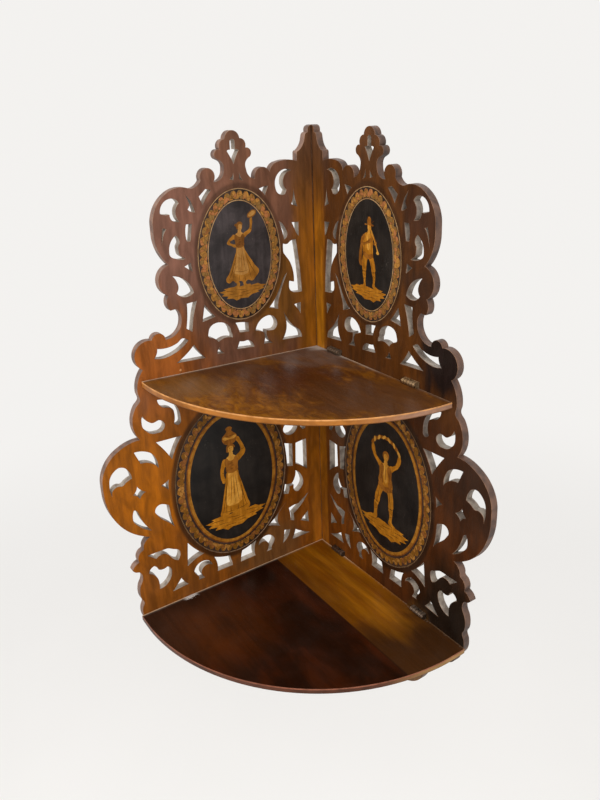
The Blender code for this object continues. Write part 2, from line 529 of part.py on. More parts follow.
def make_panel(name, place, axis, front_hinges, rest_holes):
    body = bmesh.new()
    add_slab(body, [panel_outline()] + panel_openings(), 0, BOARD, place)
    panel = make(name, body, WALNUT_PANEL, axis)

    # Mitre from the inner corner to the corner hinges' axis
    depth = BOARD - PIVOT_IN
    wedge = bmesh.new()
    section = [(MITRE_GAP + 1, -1), (MITRE_GAP - depth - 1, depth + 1), (MITRE_GAP - depth - 1, -1)]
    add_slab(wedge, [section], BOTTOM - 1, PANEL_RISE + 1, lambda a, b, c: place(a, c, b))
    cut(panel, name + "_mitre", wedge, axis)

    # Room for the corner hinges
    notch = bmesh.new()
    mortise = bmesh.new()
    half = CORNER_HINGE_LENGTH / 2 + SEAT_GAP
    leaf_end = CORNER_U + CORNER_LEAF_WIDE + SEAT_GAP
    leaf_floor = BOARD - PIVOT_IN + KNUCKLE_RADIUS - LEAF - SEAT_GAP
    for middle in CORNER_HINGES.values():
        ring = oval(CORNER_U, depth, KNUCKLE_RADIUS + 0.35, KNUCKLE_RADIUS + 0.35, ROUND_STEPS)
        add_slab(notch, [ring], middle - half, middle + half, lambda a, b, c: place(a, c, b))
        add_slab(
            mortise, [rectangle(CORNER_U - 1, middle - half, leaf_end, middle + half)], leaf_floor, BOARD + 1, place
        )
    cut(panel, name + "_knuckle_notches", notch, axis)
    cut(panel, name + "_back_mortises", mortise, axis)

    # Recesses for the ovals and the shelf hinges
    recess = bmesh.new()
    for shape in (UPPER_OVAL, LOWER_OVAL):
        ring = oval(shape["u"], shape["v"], shape["wide"], shape["tall"])
        add_slab(recess, [ring], -1, INLAY + GLUE_GAP, place)
    half = SHELF_HINGE_LENGTH / 2 + SEAT_GAP
    for out, level in front_hinges:
        low = level - LEAF_DROP - SEAT_GAP
        high = level + AXIS_OFF + KNUCKLE_RADIUS + SEAT_GAP
        floor = PLATE_BACK - AXIS_OFF + LEAF + SEAT_GAP
        add_slab(recess, [rectangle(out - half, low, out + half, high)], -1, floor, place)
    cut(panel, name + "_front_recesses", recess, axis)

    # Screw and pin holes
    holes = bmesh.new()
    for middle in CORNER_HINGES.values():
        for side in (-CORNER_SCREW_OUT, CORNER_SCREW_OUT):
            add_turned(holes, pilot_profile(), from_back(place, CORNER_SCREW_U, middle + side))
    for out, level in front_hinges:
        for side in (-SHELF_SCREW_OUT, SHELF_SCREW_OUT):
            add_turned(holes, pilot_profile(), from_front(place, out + side, level + SHELF_SCREW_UP))
    bore = REST_PIN_RADIUS + SEAT_GAP
    for out, up in rest_holes:
        profile = [(0, -1), (bore, -1), (bore, REST_PIN_SEAT + SEAT_GAP), (0, REST_PIN_SEAT + SEAT_GAP)]
        add_turned(holes, profile, lambda x, y, z, out=out, up=up: place(out + x, up + y, z), ROUND_STEPS)
    cut(panel, name + "_holes", holes, axis)
    return panel


def rest_place(out, level, tilt):
    """Middle of the rest pin that just carries the shelf's underside at this distance from the right panel."""
    angle = math.radians(tilt)
    away = out - AXIS_OFF
    below = -SHELF_BOARD - AXIS_OFF - REST_PIN_RADIUS - GLUE_GAP
    return (
        AXIS_OFF + away * math.cos(angle) - below * math.sin(angle),
        level + AXIS_OFF + away * math.sin(angle) + below * math.cos(angle),
    )


RESTS = {
    "upper_rest_pin": rest_place(UPPER_REST_OUT, 0, UPPER_SHELF_LIFT),
    "lower_rest_pin": rest_place(LOWER_REST_OUT, LOWER_LEVEL, 0),
}
FRONT_HINGES = [(out, 0) for out in UPPER_HINGES.values()] + [(out, LOWER_LEVEL) for out in LOWER_HINGES.values()]
make_panel("right_fret_panel", on_right, None, FRONT_HINGES, [])
make_panel("left_fret_panel", on_left, LEFT_AXIS, [], list(RESTS.values()))

for name, (out, up) in RESTS.items():
    pin = bmesh.new()
    tip = REST_PIN_RADIUS * 0.6
    outline = [
        (0, -REST_PIN_REACH),
        (tip, -REST_PIN_REACH),
        (REST_PIN_RADIUS, -REST_PIN_REACH + REST_PIN_RADIUS - tip),
        (REST_PIN_RADIUS, REST_PIN_SEAT),
        (0, REST_PIN_SEAT),
    ]
    add_turned(pin, outline, lambda x, y, z, out=out, up=up: on_left(out + x, up + y, z), ROUND_STEPS)
    make(name, pin, BRASS, LEFT_AXIS)


# Oval inlays
def make_inlay(name, shape, drawing, place, axis):
    wide = shape["wide"] - shape["band"]
    tall = shape["tall"] - shape["band"]
    drawn = [(u * wide / FIGURE_WIDE, v * tall / FIGURE_TALL) for u, v in bowed(drawing)]
    figure = [(shape["u"] + u, shape["v"] + v) for u, v in drawn]
    ground = bmesh.new()
    add_slab(ground, [oval(shape["u"], shape["v"], wide, tall), figure], 0, INLAY, place)
    make(name + "_ground", ground, EBONY, axis)
    light = bmesh.new()
    add_slab(light, [shrunk(figure, GLUE_GAP / 2)], 0, INLAY, place)
    make(name + "_figure", light, FIGURE_WOOD, axis)
    band = bmesh.new()
    outer = oval(shape["u"], shape["v"], shape["wide"] - GLUE_GAP, shape["tall"] - GLUE_GAP)
    inner = oval(shape["u"], shape["v"], wide + GLUE_GAP, tall + GLUE_GAP)
    add_slab(band, [outer, inner], 0, INLAY, place)
    make(name + "_band", band, LIGHT_WOOD, axis)


make_inlay("left_upper_oval", UPPER_OVAL, DANCER, on_left, LEFT_AXIS)
make_inlay("left_lower_oval", LOWER_OVAL, JUG_BEARER, on_left, LEFT_AXIS)
make_inlay("right_upper_oval", UPPER_OVAL, PIPER, on_right, None)
make_inlay("right_lower_oval", LOWER_OVAL, GARLAND_BEARER, on_right, None)


# Shelves
def make_shelf(name, radius, bow, level, hinges, axis):
    outline = bowed([(SHELF_GAP, SHELF_GAP, 0), (radius, SHELF_GAP, bow), (SHELF_GAP, radius, 0)])
    body = bmesh.new()
    add_slab(body, [outline], level - SHELF_BOARD, level, lambda a, b, c: on_right(a, c, -b))
    shelf = make(name, body, WALNUT_SHELF, axis)

    recess = bmesh.new()
    holes = bmesh.new()
    half = SHELF_HINGE_LENGTH / 2 + SEAT_GAP
    for out in hinges.values():
        box = rectangle(out - half, level - LEAF_DROP - SEAT_GAP, out + half, level + 1)
        add_slab(recess, [box], -HINGE_GAP - LEAF - SEAT_GAP, 1, on_right)
        for side in (-SHELF_SCREW_OUT, SHELF_SCREW_OUT):
            add_turned(holes, pilot_profile(), from_shelf_edge(out + side, level + SHELF_SCREW_UP))
    cut(shelf, name + "_hinge_recesses", recess, axis)
    cut(shelf, name + "_screw_holes", holes, axis)


make_shelf("upper_shelf", UPPER_RADIUS, UPPER_FRONT_BOW, 0, UPPER_HINGES, UPPER_AXIS)
make_shelf("lower_shelf", LOWER_RADIUS, LOWER_FRONT_BOW, LOWER_LEVEL, LOWER_HINGES, LOWER_AXIS)


# Hinge leaves: a knuckle and a plate, seen along the pin
def plate_leaf(length):
    """Plate tangent to the knuckle, running away from the pin."""
    level = KNUCKLE_RADIUS - LEAF
    last = math.tau + math.asin(level / KNUCKLE_RADIUS)
    first = math.pi / 2
    count = ROUND_STEPS
    arc = [first + (last - first) * i / count for i in range(count + 1)]
    knuckle = [(KNUCKLE_RADIUS * math.cos(a), KNUCKLE_RADIUS * math.sin(a)) for a in arc]
    return [(length, level), (length, KNUCKLE_RADIUS)] + knuckle


def turned_down(points):
    """The same section with its plate hanging down on the panel's side of the knuckle."""
    return [(b, -a) for a, b in points]


def wall_leaf(length):
    """Plate behind the moving leaf's plate, with a neck to the knuckle."""
    front = PLATE_BACK
    back = PLATE_BACK + LEAF
    first = math.pi / 2
    last = math.tau - math.radians(15)
    arc = [first + (last - first) * i / ROUND_STEPS for i in range(ROUND_STEPS + 1)]
    knuckle = [(KNUCKLE_RADIUS * math.cos(a), KNUCKLE_RADIUS * math.sin(a)) for a in arc]
    return [(front, -length), (back, -length), (back, KNUCKLE_RADIUS)] + knuckle + [(front, knuckle[-1][1])]


def pin_hole():
    return oval(0, 0, HINGE_PIN_RADIUS + PIN_GAP, HINGE_PIN_RADIUS + PIN_GAP, ROUND_STEPS)


def round_gap():
    return oval(0, 0, KNUCKLE_RADIUS + HINGE_GAP, KNUCKLE_RADIUS + HINGE_GAP, ROUND_STEPS)


def neck_gap():
    reach = KNUCKLE_RADIUS + 1
    return rectangle(-reach, -KNUCKLE_RADIUS - 0.5, PLATE_BACK + 0.1, reach)


def make_leaf(name, section, length, place, gap, gap_at, screws, axis):
    body = bmesh.new()
    add_slab(body, [section, pin_hole()], -length / 2, length / 2, place)
    leaf = make(name, body, BRASS, axis)
    spaces = bmesh.new()
    for low, high in gap_at:
        add_slab(spaces, [gap], low, high, place)
    for screw in screws:
        add_turned(spaces, clearance_profile(), screw)
    cut(leaf, name + "_spaces", spaces, axis)
    for number, screw in enumerate(screws, 1):
        make_screw(f"{name}_screw_{number}", screw, axis)


def make_pin(name, length, place, axis):
    pin = bmesh.new()
    add_slab(pin, [oval(0, 0, HINGE_PIN_RADIUS, HINGE_PIN_RADIUS, ROUND_STEPS)], -length / 2, length / 2, place)
    make(name, pin, BRASS, axis)


def middle_gap(length):
    return [(-length / 6 - 0.1, length / 6 + 0.1)]


def end_gaps(length):
    return [(-length / 2 - 1, 0.1 - length / 6), (length / 6 - 0.1, length / 2 + 1)]


def make_shelf_hinge(name, out, level, axis):
    def place(a, b, c):
        return on_right(out + c, level + AXIS_OFF + b, -AXIS_OFF + a)

    length = SHELF_HINGE_LENGTH
    drop = AXIS_OFF + LEAF_DROP
    up = level + SHELF_SCREW_UP
    sides = (-SHELF_SCREW_OUT, SHELF_SCREW_OUT)
    fixed = [from_front(on_right, out + side, up) for side in sides]
    moving = [from_shelf_edge(out + side, up) for side in sides]
    make_leaf(name + "_fixed_leaf", wall_leaf(drop), length, place, neck_gap(), middle_gap(length), fixed, None)
    section = turned_down(plate_leaf(drop))
    make_leaf(name + "_moving_leaf", section, length, place, round_gap(), end_gaps(length), moving, axis)
    make_pin(name + "_pin", length, place, None)


def make_corner_hinge(name, middle):
    def place_on(panel):
        return lambda a, b, c: panel(CORNER_U + a, middle + c, BOARD - PIVOT_IN + b)

    length = CORNER_HINGE_LENGTH
    section = plate_leaf(CORNER_LEAF_WIDE)
    sides = (-CORNER_SCREW_OUT, CORNER_SCREW_OUT)
    right = [from_back(on_right, CORNER_SCREW_U, middle + side) for side in sides]
    left = [from_back(on_left, CORNER_SCREW_U, middle + side) for side in sides]
    make_leaf(name + "_right_leaf", section, length, place_on(on_right), round_gap(), middle_gap(length), right, None)
    make_leaf(name + "_left_leaf", section, length, place_on(on_left), round_gap(), end_gaps(length), left, LEFT_AXIS)
    make_pin(name + "_pin", length, place_on(on_right), None)


for name, out in UPPER_HINGES.items():
    make_shelf_hinge(name, out, 0, UPPER_AXIS)
for name, out in LOWER_HINGES.items():
    make_shelf_hinge(name, out, LOWER_LEVEL, LOWER_AXIS)
for name, middle in CORNER_HINGES.items():
    make_corner_hinge(name, middle)
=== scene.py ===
import json
import math

import bmesh
import bpy
from mathutils import Matrix, Vector

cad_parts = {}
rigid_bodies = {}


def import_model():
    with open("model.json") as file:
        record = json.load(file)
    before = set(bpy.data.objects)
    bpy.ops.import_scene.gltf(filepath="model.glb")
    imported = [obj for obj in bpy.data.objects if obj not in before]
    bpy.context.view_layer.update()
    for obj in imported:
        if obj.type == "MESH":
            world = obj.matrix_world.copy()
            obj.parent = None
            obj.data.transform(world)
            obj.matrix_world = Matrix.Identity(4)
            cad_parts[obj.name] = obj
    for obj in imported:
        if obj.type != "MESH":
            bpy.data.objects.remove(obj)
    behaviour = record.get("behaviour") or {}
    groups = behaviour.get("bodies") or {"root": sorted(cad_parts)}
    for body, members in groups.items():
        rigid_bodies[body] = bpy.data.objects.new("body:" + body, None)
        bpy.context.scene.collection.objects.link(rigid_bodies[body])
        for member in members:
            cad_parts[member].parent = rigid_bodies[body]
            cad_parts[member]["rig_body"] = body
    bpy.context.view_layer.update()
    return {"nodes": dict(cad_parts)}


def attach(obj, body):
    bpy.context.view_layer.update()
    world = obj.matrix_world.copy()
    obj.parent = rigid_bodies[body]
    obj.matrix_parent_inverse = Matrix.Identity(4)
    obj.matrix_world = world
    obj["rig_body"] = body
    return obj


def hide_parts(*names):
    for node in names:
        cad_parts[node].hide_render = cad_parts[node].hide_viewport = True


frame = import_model()
nodes = frame["nodes"]
scene = bpy.context.scene
bpy.ops.object.select_all(action="DESELECT")

# Millimetres. An oval's out is counted from the panels' inner corner, its up from the upper shelf's top
MM = 0.001
INNER_X = -8.6
INNER_Y = -6.4
LOWER_LEVEL = -210
UPPER_OVAL = {"out": 73.5, "up": 92.5, "wide": 38.6, "tall": 53.2}
LOWER_OVAL = {"out": 97.2, "up": 104.2 + LOWER_LEVEL, "wide": 56.5, "tall": 77.0}
# The upper shelf's slant in degrees, and how far in front of the right panel it begins
UPPER_SHELF_LIFT = 2.4
LIFT_START = 2.4
# A shelf's edge is its front where it is further than this from the inner corner
UPPER_FRONT = 160
LOWER_FRONT = 185
# A smaller patch on a panel is a round spot, which doesn't waver with the wood
SPOT = 5

# Tints of the gloss
WHITE_GLOSS = (1, 1, 1, 1)
AMBER_GLOSS = (1.0, 0.72, 0.46, 1)
BROWN_GLOSS = (1.0, 0.62, 0.34, 1)


# Camera
def set_camera():
    azimuth, elevation, roll = [math.radians(angle) for angle in (56.556, 22.959, -2.203)]
    back = Vector((
        math.sin(azimuth) * math.cos(elevation),
        -math.cos(azimuth) * math.cos(elevation),
        math.sin(elevation),
    ))
    level = Vector((math.cos(azimuth), math.sin(azimuth), 0))
    right = level * math.cos(roll) + back.cross(level) * math.sin(roll)
    up = back.cross(right)
    data = bpy.data.cameras.new("camera")
    data.lens = 31.9
    data.sensor_width = 36
    data.sensor_fit = "AUTO"
    data.clip_start = 0.01
    camera = bpy.data.objects.new("camera", data)
    scene.collection.objects.link(camera)
    place = Vector((0.497545, -0.361755, 0.207888))
    turn = Matrix((right, up, back)).transposed().to_4x4()
    camera.matrix_world = Matrix.Translation(place) @ turn
    scene.camera = camera


# Small tools for shader nodes
class Value:
    """What a shader node puts out, to be reckoned with like a number."""

    def __init__(self, socket):
        self.socket = socket
        self.tree = socket.id_data

    def __add__(self, other):
        return reckon("ADD", self, other)

    def __radd__(self, other):
        return reckon("ADD", other, self)

    def __sub__(self, other):
        return reckon("SUBTRACT", self, other)

    def __rsub__(self, other):
        return reckon("SUBTRACT", other, self)

    def __mul__(self, other):
        return reckon("MULTIPLY", self, other)

    def __truediv__(self, other):
        return reckon("DIVIDE", self, other)


def plug(node, key, value):
    """Sets an input of a node, or joins what another node puts out to it."""
    if isinstance(value, Value):
        value.tree.links.new(value.socket, node.inputs[key])
    else:
        node.inputs[key].default_value = value


def add(tree, kind, inputs, **settings):
    node = tree.nodes.new(kind)
    for name, setting in settings.items():
        setattr(node, name, setting)
    for key, value in inputs.items():
        plug(node, key, value)
    return node


def make(kind, inputs, **settings):
    """A new node, in the tree that its inputs come from."""
    tree = next(value.tree for value in inputs.values() if isinstance(value, Value))
    return add(tree, kind, inputs, **settings)


def reckon(operation, first, second=0.5):
    return Value(make("ShaderNodeMath", {0: first, 1: second}, operation=operation).outputs[0])


def larger(first, second):
    return reckon("MAXIMUM", first, second)


def tone(red, green, blue):
    """A colour as it looks on a screen, 0 to 255, as the shader takes it."""
    linear = []
    for part in (red, green, blue):
        part = part / 255
        linear.append(part / 12.92 if part <= 0.04045 else ((part + 0.055) / 1.055) ** 2.4)
    return (*linear, 1)


def ramp(value, low, high, start=0.0, end=1.0):
    """Leads smoothly from start, where value is low, to end, where it is high."""
    inputs = {"Value": value, "From Min": low, "From Max": high, "To Min": start, "To Max": end}
    return Value(make("ShaderNodeMapRange", inputs, interpolation_type="SMOOTHSTEP").outputs["Result"])


def blend(share, first, second, how="MIX"):
    """Mixes two colours. One of three numbers is a tone as on a screen."""
    inputs = {0: share}
    for key, colour in ((6, first), (7, second)):
        inputs[key] = tone(*colour) if isinstance(colour, tuple) and len(colour) == 3 else colour
    return Value(make("ShaderNodeMix", inputs, data_type="RGBA", blend_type=how).outputs[2])


def shaded(colour, shade):
    """colour made lighter or darker by shade."""
    grey = make("ShaderNodeCombineColor", {0: shade, 1: shade, 2: shade}).outputs[0]
    return blend(1.0, colour, Value(grey), "MULTIPLY")


def noise(vector, scale, detail=3, distortion=0.0):
    inputs = {"Vector": vector, "Scale": scale, "Detail": detail, "Distortion": distortion, "Roughness": 0.55}
    return Value(make("ShaderNodeTexNoise", inputs).outputs[0])


def stretched(vector, scale, turn=(0, 0, 0)):
    return Value(make("ShaderNodeMapping", {"Vector": vector, "Scale": scale, "Rotation": turn}).outputs[0])


def split(place):
    return [Value(socket) for socket in make("ShaderNodeSeparateXYZ", {0: place}).outputs]


def by_name(node):
    return {socket.name: Value(socket) for socket in node.outputs}


def new_group(name, takes, gives):
    """A node group with its inputs by name, and the node that its outputs go to."""
    group = bpy.data.node_groups.new(name, "ShaderNodeTree")
    for label, kind, value in takes:
        socket = group.interface.new_socket(label, in_out="INPUT", socket_type="NodeSocket" + kind)
        if value is not None:
            socket.default_value = value
    for label, kind in gives:
        group.interface.new_socket(label, in_out="OUTPUT", socket_type="NodeSocket" + kind)
    return group, by_name(group.nodes.new("NodeGroupInput")), group.nodes.new("NodeGroupOutput")


def use(group, **inputs):
    return by_name(make("ShaderNodeGroup", inputs, node_tree=group))


def new_material(name):
    material = bpy.data.materials.new(name)
    material.use_nodes = True
    made = material.node_tree.nodes
    return material, made["Principled BSDF"], Value(made.new("ShaderNodeTexCoord").outputs["Object"])


def coat(surface, colour, rough, height, relief, gloss=0.2, tint=AMBER_GLOSS):
    """Gives a surface its colour, roughness, relief and gloss."""
    bump = make("ShaderNodeBump", {"Height": height, "Distance": relief, "Strength": 0.6}).outputs[0]
    for key, value in (
        ("Base Color", colour),
        ("Roughness", rough),
        ("Normal", Value(bump)),
        ("Specular IOR Level", gloss),
        ("Specular Tint", tint),
    ):
        plug(surface, key, value)


# Shared wood and wear
def grain_group():
    group, takes, gives = new_group(
        "wood_grain",
        [("Vector", "Vector", None), ("Colour", "Color", (0.5, 0.5, 0.5, 1)), ("Depth", "Float", 1.0)],
        [("Colour", "Color"), ("Rough", "Float"), ("Height", "Float")],
    )
    along = takes["Vector"]
    fibre = noise(along, 1500, 2)
    pores = ramp(noise(along, 2300, 1), 0.6, 0.72)
    shade = ramp(noise(along, 260, 4, 0.6) * 0.75 + noise(along, 70, 3, 1.2) * 0.75, 0.5, 1.0, 0.5, 1.38)
    level = shade * (fibre * 0.4 + 0.8) - pores * 0.22
    plug(gives, "Colour", shaded(takes["Colour"], (level - 1.0) * takes["Depth"] + 1.0))
    plug(gives, "Rough", ramp(fibre, 0.3, 0.7, 0.3, 0.44))
    plug(gives, "Height", fibre * 0.4 - pores * 0.8)
    return group


def dust_group():
    group, takes, gives = new_group(
        "dust_film",
        [("Vector", "Vector", None), ("Colour", "Color", (0.5, 0.5, 0.5, 1)), ("Cover", "Float", 0.2)],
        [("Colour", "Color"), ("Cover", "Float")],
    )
    cloud = ramp(noise(takes["Vector"], 45, 4), 0.35, 0.72, 0.35, 1.3)
    specks = ramp(noise(takes["Vector"], 1100, 2), 0.62, 0.75)
    cover = reckon("MINIMUM", cloud * takes["Cover"] + specks * (takes["Cover"] * 0.5), 0.9)
    plug(gives, "Colour", blend(cover, takes["Colour"], (176, 166, 156)))
    plug(gives, "Cover", cover)
    return group


def scratch_group():
    group, takes, gives = new_group(
        "fine_scratches",
        [("Vector", "Vector", None), ("Amount", "Float", 0.3)],
        [("Mask", "Float")],
    )
    marks = None
    for angle, thin in ((0.35, 26), (-0.6, 34), (1.2, 40)):
        line = stretched(takes["Vector"], (1, 1, 1), (angle, angle * 0.7, angle))
        line = stretched(line, (thin * 34, thin * 34, 26))
        one = ramp(noise(line, 1.0, 1, 0.2), 0.735, 0.77)
        marks = larger(marks, one) if marks else one
    patchy = ramp(noise(takes["Vector"], 60, 2), 0.45, 0.65)
    plug(gives, "Mask", marks * patchy * takes["Amount"])
    return group


GRAIN = grain_group()
DUST = dust_group()
SCRATCH = scratch_group()


# Materials. Places and lengths that their nodes compare are in metres
def patch(across, up, sway, centre, radius):
    """A soft round patch on a board, 1 in its middle. Centre and radius in millimetres."""
    sideways = across - centre[0] * MM
    upwards = up - centre[1] * MM
    away = reckon("SQRT", sideways * sideways + upwards * upwards) + sway
    return ramp(away, radius * MM, radius * 0.3 * MM)


def panel_walnut(name, side, base, stile, patches):
    """Varnished walnut, grain upright. base has a tone for above and one for below, stile also a sheen."""
    material, surface, place = new_material(name)
    x, y, z = split(place)
    if side == "right":
        out, depth, stile_end = x - INNER_X * MM, y - INNER_Y * MM, 0.019
    else:
        out, depth, stile_end = INNER_Y * MM - y, INNER_X * MM - x, 0.03
    cloud = noise(stretched(place, (1, 1, 0.4)), 34, 4, 0.7)
    sway = (cloud - 0.5) * 0.09
    low = ramp(z + sway * 0.5, 0.012, -0.03)
    colour = blend(low, *base)
    for centre, radius, tint in patches:
        stray = sway if radius > SPOT else 0.0
        colour = blend(patch(out, z, stray, centre, radius), colour, tint)
    # Darkened wood round the ovals
    for oval, reach, share in ((UPPER_OVAL, 4.2, 0.5), (LOWER_OVAL, 5.4, 0.8)):
        across = (out - oval["out"] * MM) / (oval["wide"] * MM)
        upward = (z - oval["up"] * MM) / (oval["tall"] * MM)
        away = reckon("SQRT", across * across + upward * upward)
        ring = ramp(away, 1 + reach / oval["wide"], 1 + 0.4 * reach / oval["wide"])
        colour = blend(ring * share, colour, (34, 20, 11))
    # The stile at the corner: a painted sheen along it, painted light near the shelves, and darker at its top
    near = ramp(out + sway * 0.3, stile_end, 0.011)
    colour = blend(near, colour, blend(low, stile[0], stile[1]))
    strip = ramp(out, 0.0128, 0.0098)
    sheen = strip * ramp(z, 0.14, 0.1) * ramp(z, -0.02, 0.0, 0.6, 1.0)
    colour = blend(sheen * ramp(cloud, 0.3, 0.6, 0.35, 0.95), colour, stile[2])
    # Painted light reflected from the lower shelf onto the stile above it
    colour = blend(strip * ramp(z, -0.12, -0.2, 0, 0.36), colour, (190, 116, 28))
    if side == "right":
        # Painted light on the right stile just above the upper shelf
        painted_light_above_shelf = strip * ramp(z, 0.08, 0.02, 0, 0.36) * ramp(z, -0.006, -0.002)
        colour = blend(painted_light_above_shelf, colour, (226, 150, 34))
    top = ramp(out, 0.03, 0.018) * ramp(z, 0.1, 0.178)
    colour = blend(top * 0.85, colour, (76, 50, 36))
    back = blend(ramp(cloud, 0.3, 0.7), (84, 50, 28), (112, 72, 42))
    colour = blend(ramp(depth, 0.003, 0.0055), colour, back)
    blotch = noise(stretched(place, (1, 1, 0.3)), 95, 4, 1.0)
    colour = shaded(colour, ramp(blotch, 0.3, 0.7, 0.74, 1.22))
    wood = use(GRAIN, Vector=stretched(place, (1, 1, 0.05)), Colour=colour, Depth=0.38)
    dusty = use(DUST, Vector=place, Colour=wood["Colour"], Cover=0.012)
    joint = ramp(out, 0.0012, 0.0004) * ramp(z, 0.03, 0.14, 0.1, 0.85)
    colour = blend(joint, dusty["Colour"], (38, 21, 9))
    coat(surface, colour, wood["Rough"] + dusty["Cover"] * 0.8, wood["Height"], 0.00012)
    return material


def sawn_walnut(name, pale, deep, film):
    """Saw-cut edges, greyed by dust."""
    material, surface, place = new_material(name)
    colour = blend(ramp(noise(place, 120, 4, 0.3), 0.3, 0.68), deep, pale)
    wood = use(GRAIN, Vector=stretched(place, (1, 1, 0.12)), Colour=colour, Depth=0.35)
    dusty = use(DUST, Vector=place, Colour=wood["Colour"], Cover=film)
    saw_lines = noise(stretched(place, (1, 1, 0.1)), 700, 3)
    coat(surface, dusty["Colour"], 0.62, saw_lines, 0.0002, 0.5, WHITE_GLOSS)
    return material


def board_place(place):
    """How far a point of a shelf is out along the right panel and forward along the left one."""
    x, y = split(place)[:2]
    return x - INNER_X * MM, INNER_Y * MM - y


def finish_shelf_top(surface, place, colour, lines, depth, film):
    wood = use(GRAIN, Vector=lines, Colour=colour, Depth=depth)
    dusty = use(DUST, Vector=place, Colour=wood["Colour"], Cover=film)
    rough = wood["Rough"] + dusty["Cover"] * 0.6
    coat(surface, dusty["Colour"], rough, wood["Height"], 0.0001, 0.07, BROWN_GLOSS)


def back_arris(out, fore, reach):
    """The thin pale line along a shelf's two back edges, the right one fading out past reach."""
    beside = ramp(fore, 0.0018, 0.001) * ramp(out, reach, 0.4 * reach, 0.1, 1.0)
    return larger(ramp(out, 0.0018, 0.001), beside)


def upper_shelf_walnut():
    material, surface, place = new_material("walnut_upper_shelf")
    out, fore = board_place(place)
    curl = noise(stretched(place, (0.6, 1, 1), (0, 0, 0.7)), 34, 4, 2.0)
    sway = (curl - 0.5) * 0.085
    small = noise(stretched(place, (0.7, 1, 1), (0, 0, 0.7)), 120, 4, 1.4)
    colour = blend(ramp(small, 0.32, 0.68), (98, 53, 8), (138, 84, 14))
    for centre, radius, tint in (
        ((62, 62), 74, (66, 28, 4)),
        ((118, 60), 62, (72, 38, 12)),
        ((140, 30), 66, (82, 48, 22)),
        ((26, 142), 50, (112, 74, 36)),
        ((10, 10), 66, (96, 66, 50)),
        ((12, 100), 44, (88, 54, 32)),
    ):
        colour = blend(patch(out, fore, sway, centre, radius) * 0.92, colour, tint)
    beside = ramp(fore, 0.0045, 0.0014) * ramp(out, 0.1, 0.05, 0.25, 1.0)
    seam = larger(ramp(out, 0.0045, 0.0012), beside)
    back = ramp(out + fore + sway, 0.12, 0.01)
    corner = patch(out, fore, sway * 0.2, (1, 1), 17)
    film = 0.008 + seam * 0.4 + back * 0.1 + corner * 0.8
    colour = blend(back_arris(out, fore, 0.1) * 0.8, colour, (232, 200, 164))
    finish_shelf_top(surface, place, colour, stretched(place, (0.16, 1, 1), (0, 0, 0.6)), 0.45, film)
    return material


def lower_shelf_walnut():
    """Dark walnut, with a golden strip joined on along the right panel."""
    material, surface, place = new_material("walnut_lower_shelf")
    out, fore = board_place(place)
    curl = noise(stretched(place, (0.55, 1, 1), (0, 0, 0.3)), 30, 5, 0.5)
    sway = (curl - 0.5) * 0.08
    dark = blend(ramp(curl, 0.34, 0.7), (30, 9, 1), (62, 24, 5))
    dark = blend(patch(out, fore, sway, (16, 170), 80), dark, (50, 27, 15))
    glow = patch(out, fore, sway, (56, 150), 62) * ramp(curl, 0.3, 0.6, 0.2, 0.7)
    dark = blend(glow, dark, (80, 37, 7))
    streak = noise(stretched(place, (0.12, 1, 1)), 90, 3, 0.5)
    gold = blend(ramp(streak, 0.3, 0.7), (124, 70, 6), (158, 98, 12))
    gold = blend(ramp(fore + sway * 0.4, 0.026, 0.058) * 0.75, gold, (84, 42, 2))
    gold = blend(ramp(out + sway, 0.105, 0.165), gold, (60, 33, 11))
    colour = blend(ramp(fore, 0.0578, 0.0562), dark, gold)
    joint = ramp(fore, 0.0562, 0.0568) * ramp(fore, 0.0582, 0.0575)
    colour = blend(joint * 0.5, colour, (36, 18, 8))
    dots = ramp(noise(place, 520, 2), 0.56, 0.66)
    beside = ramp(fore, 0.004, 0.0008) * larger(ramp(out, 0.075, 0.035), dots * 0.7)
    seam = larger(ramp(out, 0.004, 0.0008), beside)
    colour = blend(back_arris(out, fore, 0.07) * 0.8, colour, (232, 190, 144))
    # Painted light: the pale wall seen through a chip at the left edge, painted near white on the top
    reach = ramp(fore, 0.143, 0.148) * ramp(fore, 0.16, 0.154)
    chip_wall_light = out + (noise(place, 420, 3, 0.8) - 0.5) * 0.012
    colour = blend(reach * ramp(chip_wall_light, 0.0052, 0.004) * 0.9, colour, (232, 226, 220))
    finish_shelf_top(surface, place, colour, stretched(place, (0.07, 1, 1)), 0.4, 0.008 + seam * 0.3)
    return material


def rim_walnut(name, body, light, deep, end, level, lift):
    """A shelf's front edge: a painted highlight in patches along its top arris, painted shade along its foot,
    another tone at its right end.
    """
    material, surface, place = new_material(name)
    y, z = split(place)[1:]
    fore = INNER_Y * MM - y
    height = z - level * MM - (fore - LIFT_START * MM) * math.sin(math.radians(lift))
    cloud = noise(place, 38, 3, 0.6)
    colour = blend(ramp(cloud, 0.35, 0.66), *body)
    colour = blend(ramp(fore + (cloud - 0.5) * 0.05, 0.085, 0.03), colour, end)
    patchy = ramp(noise(place, 160, 3), 0.3, 0.6, 0.35, 0.95)
    # Painted highlight in patches along the top arris, then painted shade along the foot
    colour = blend(ramp(height, -0.0014, -0.0007) * patchy, colour, light)
    colour = blend(ramp(height, -0.0036, -0.0047) * 0.85, colour, deep)
    wood = use(GRAIN, Vector=stretched(place, (0.4, 0.4, 1)), Colour=colour, Depth=0.4)
    dusty = use(DUST, Vector=place, Colour=wood["Colour"], Cover=0.02)
    coat(surface, dusty["Colour"], wood["Rough"], wood["Height"], 0.0001)
    return material


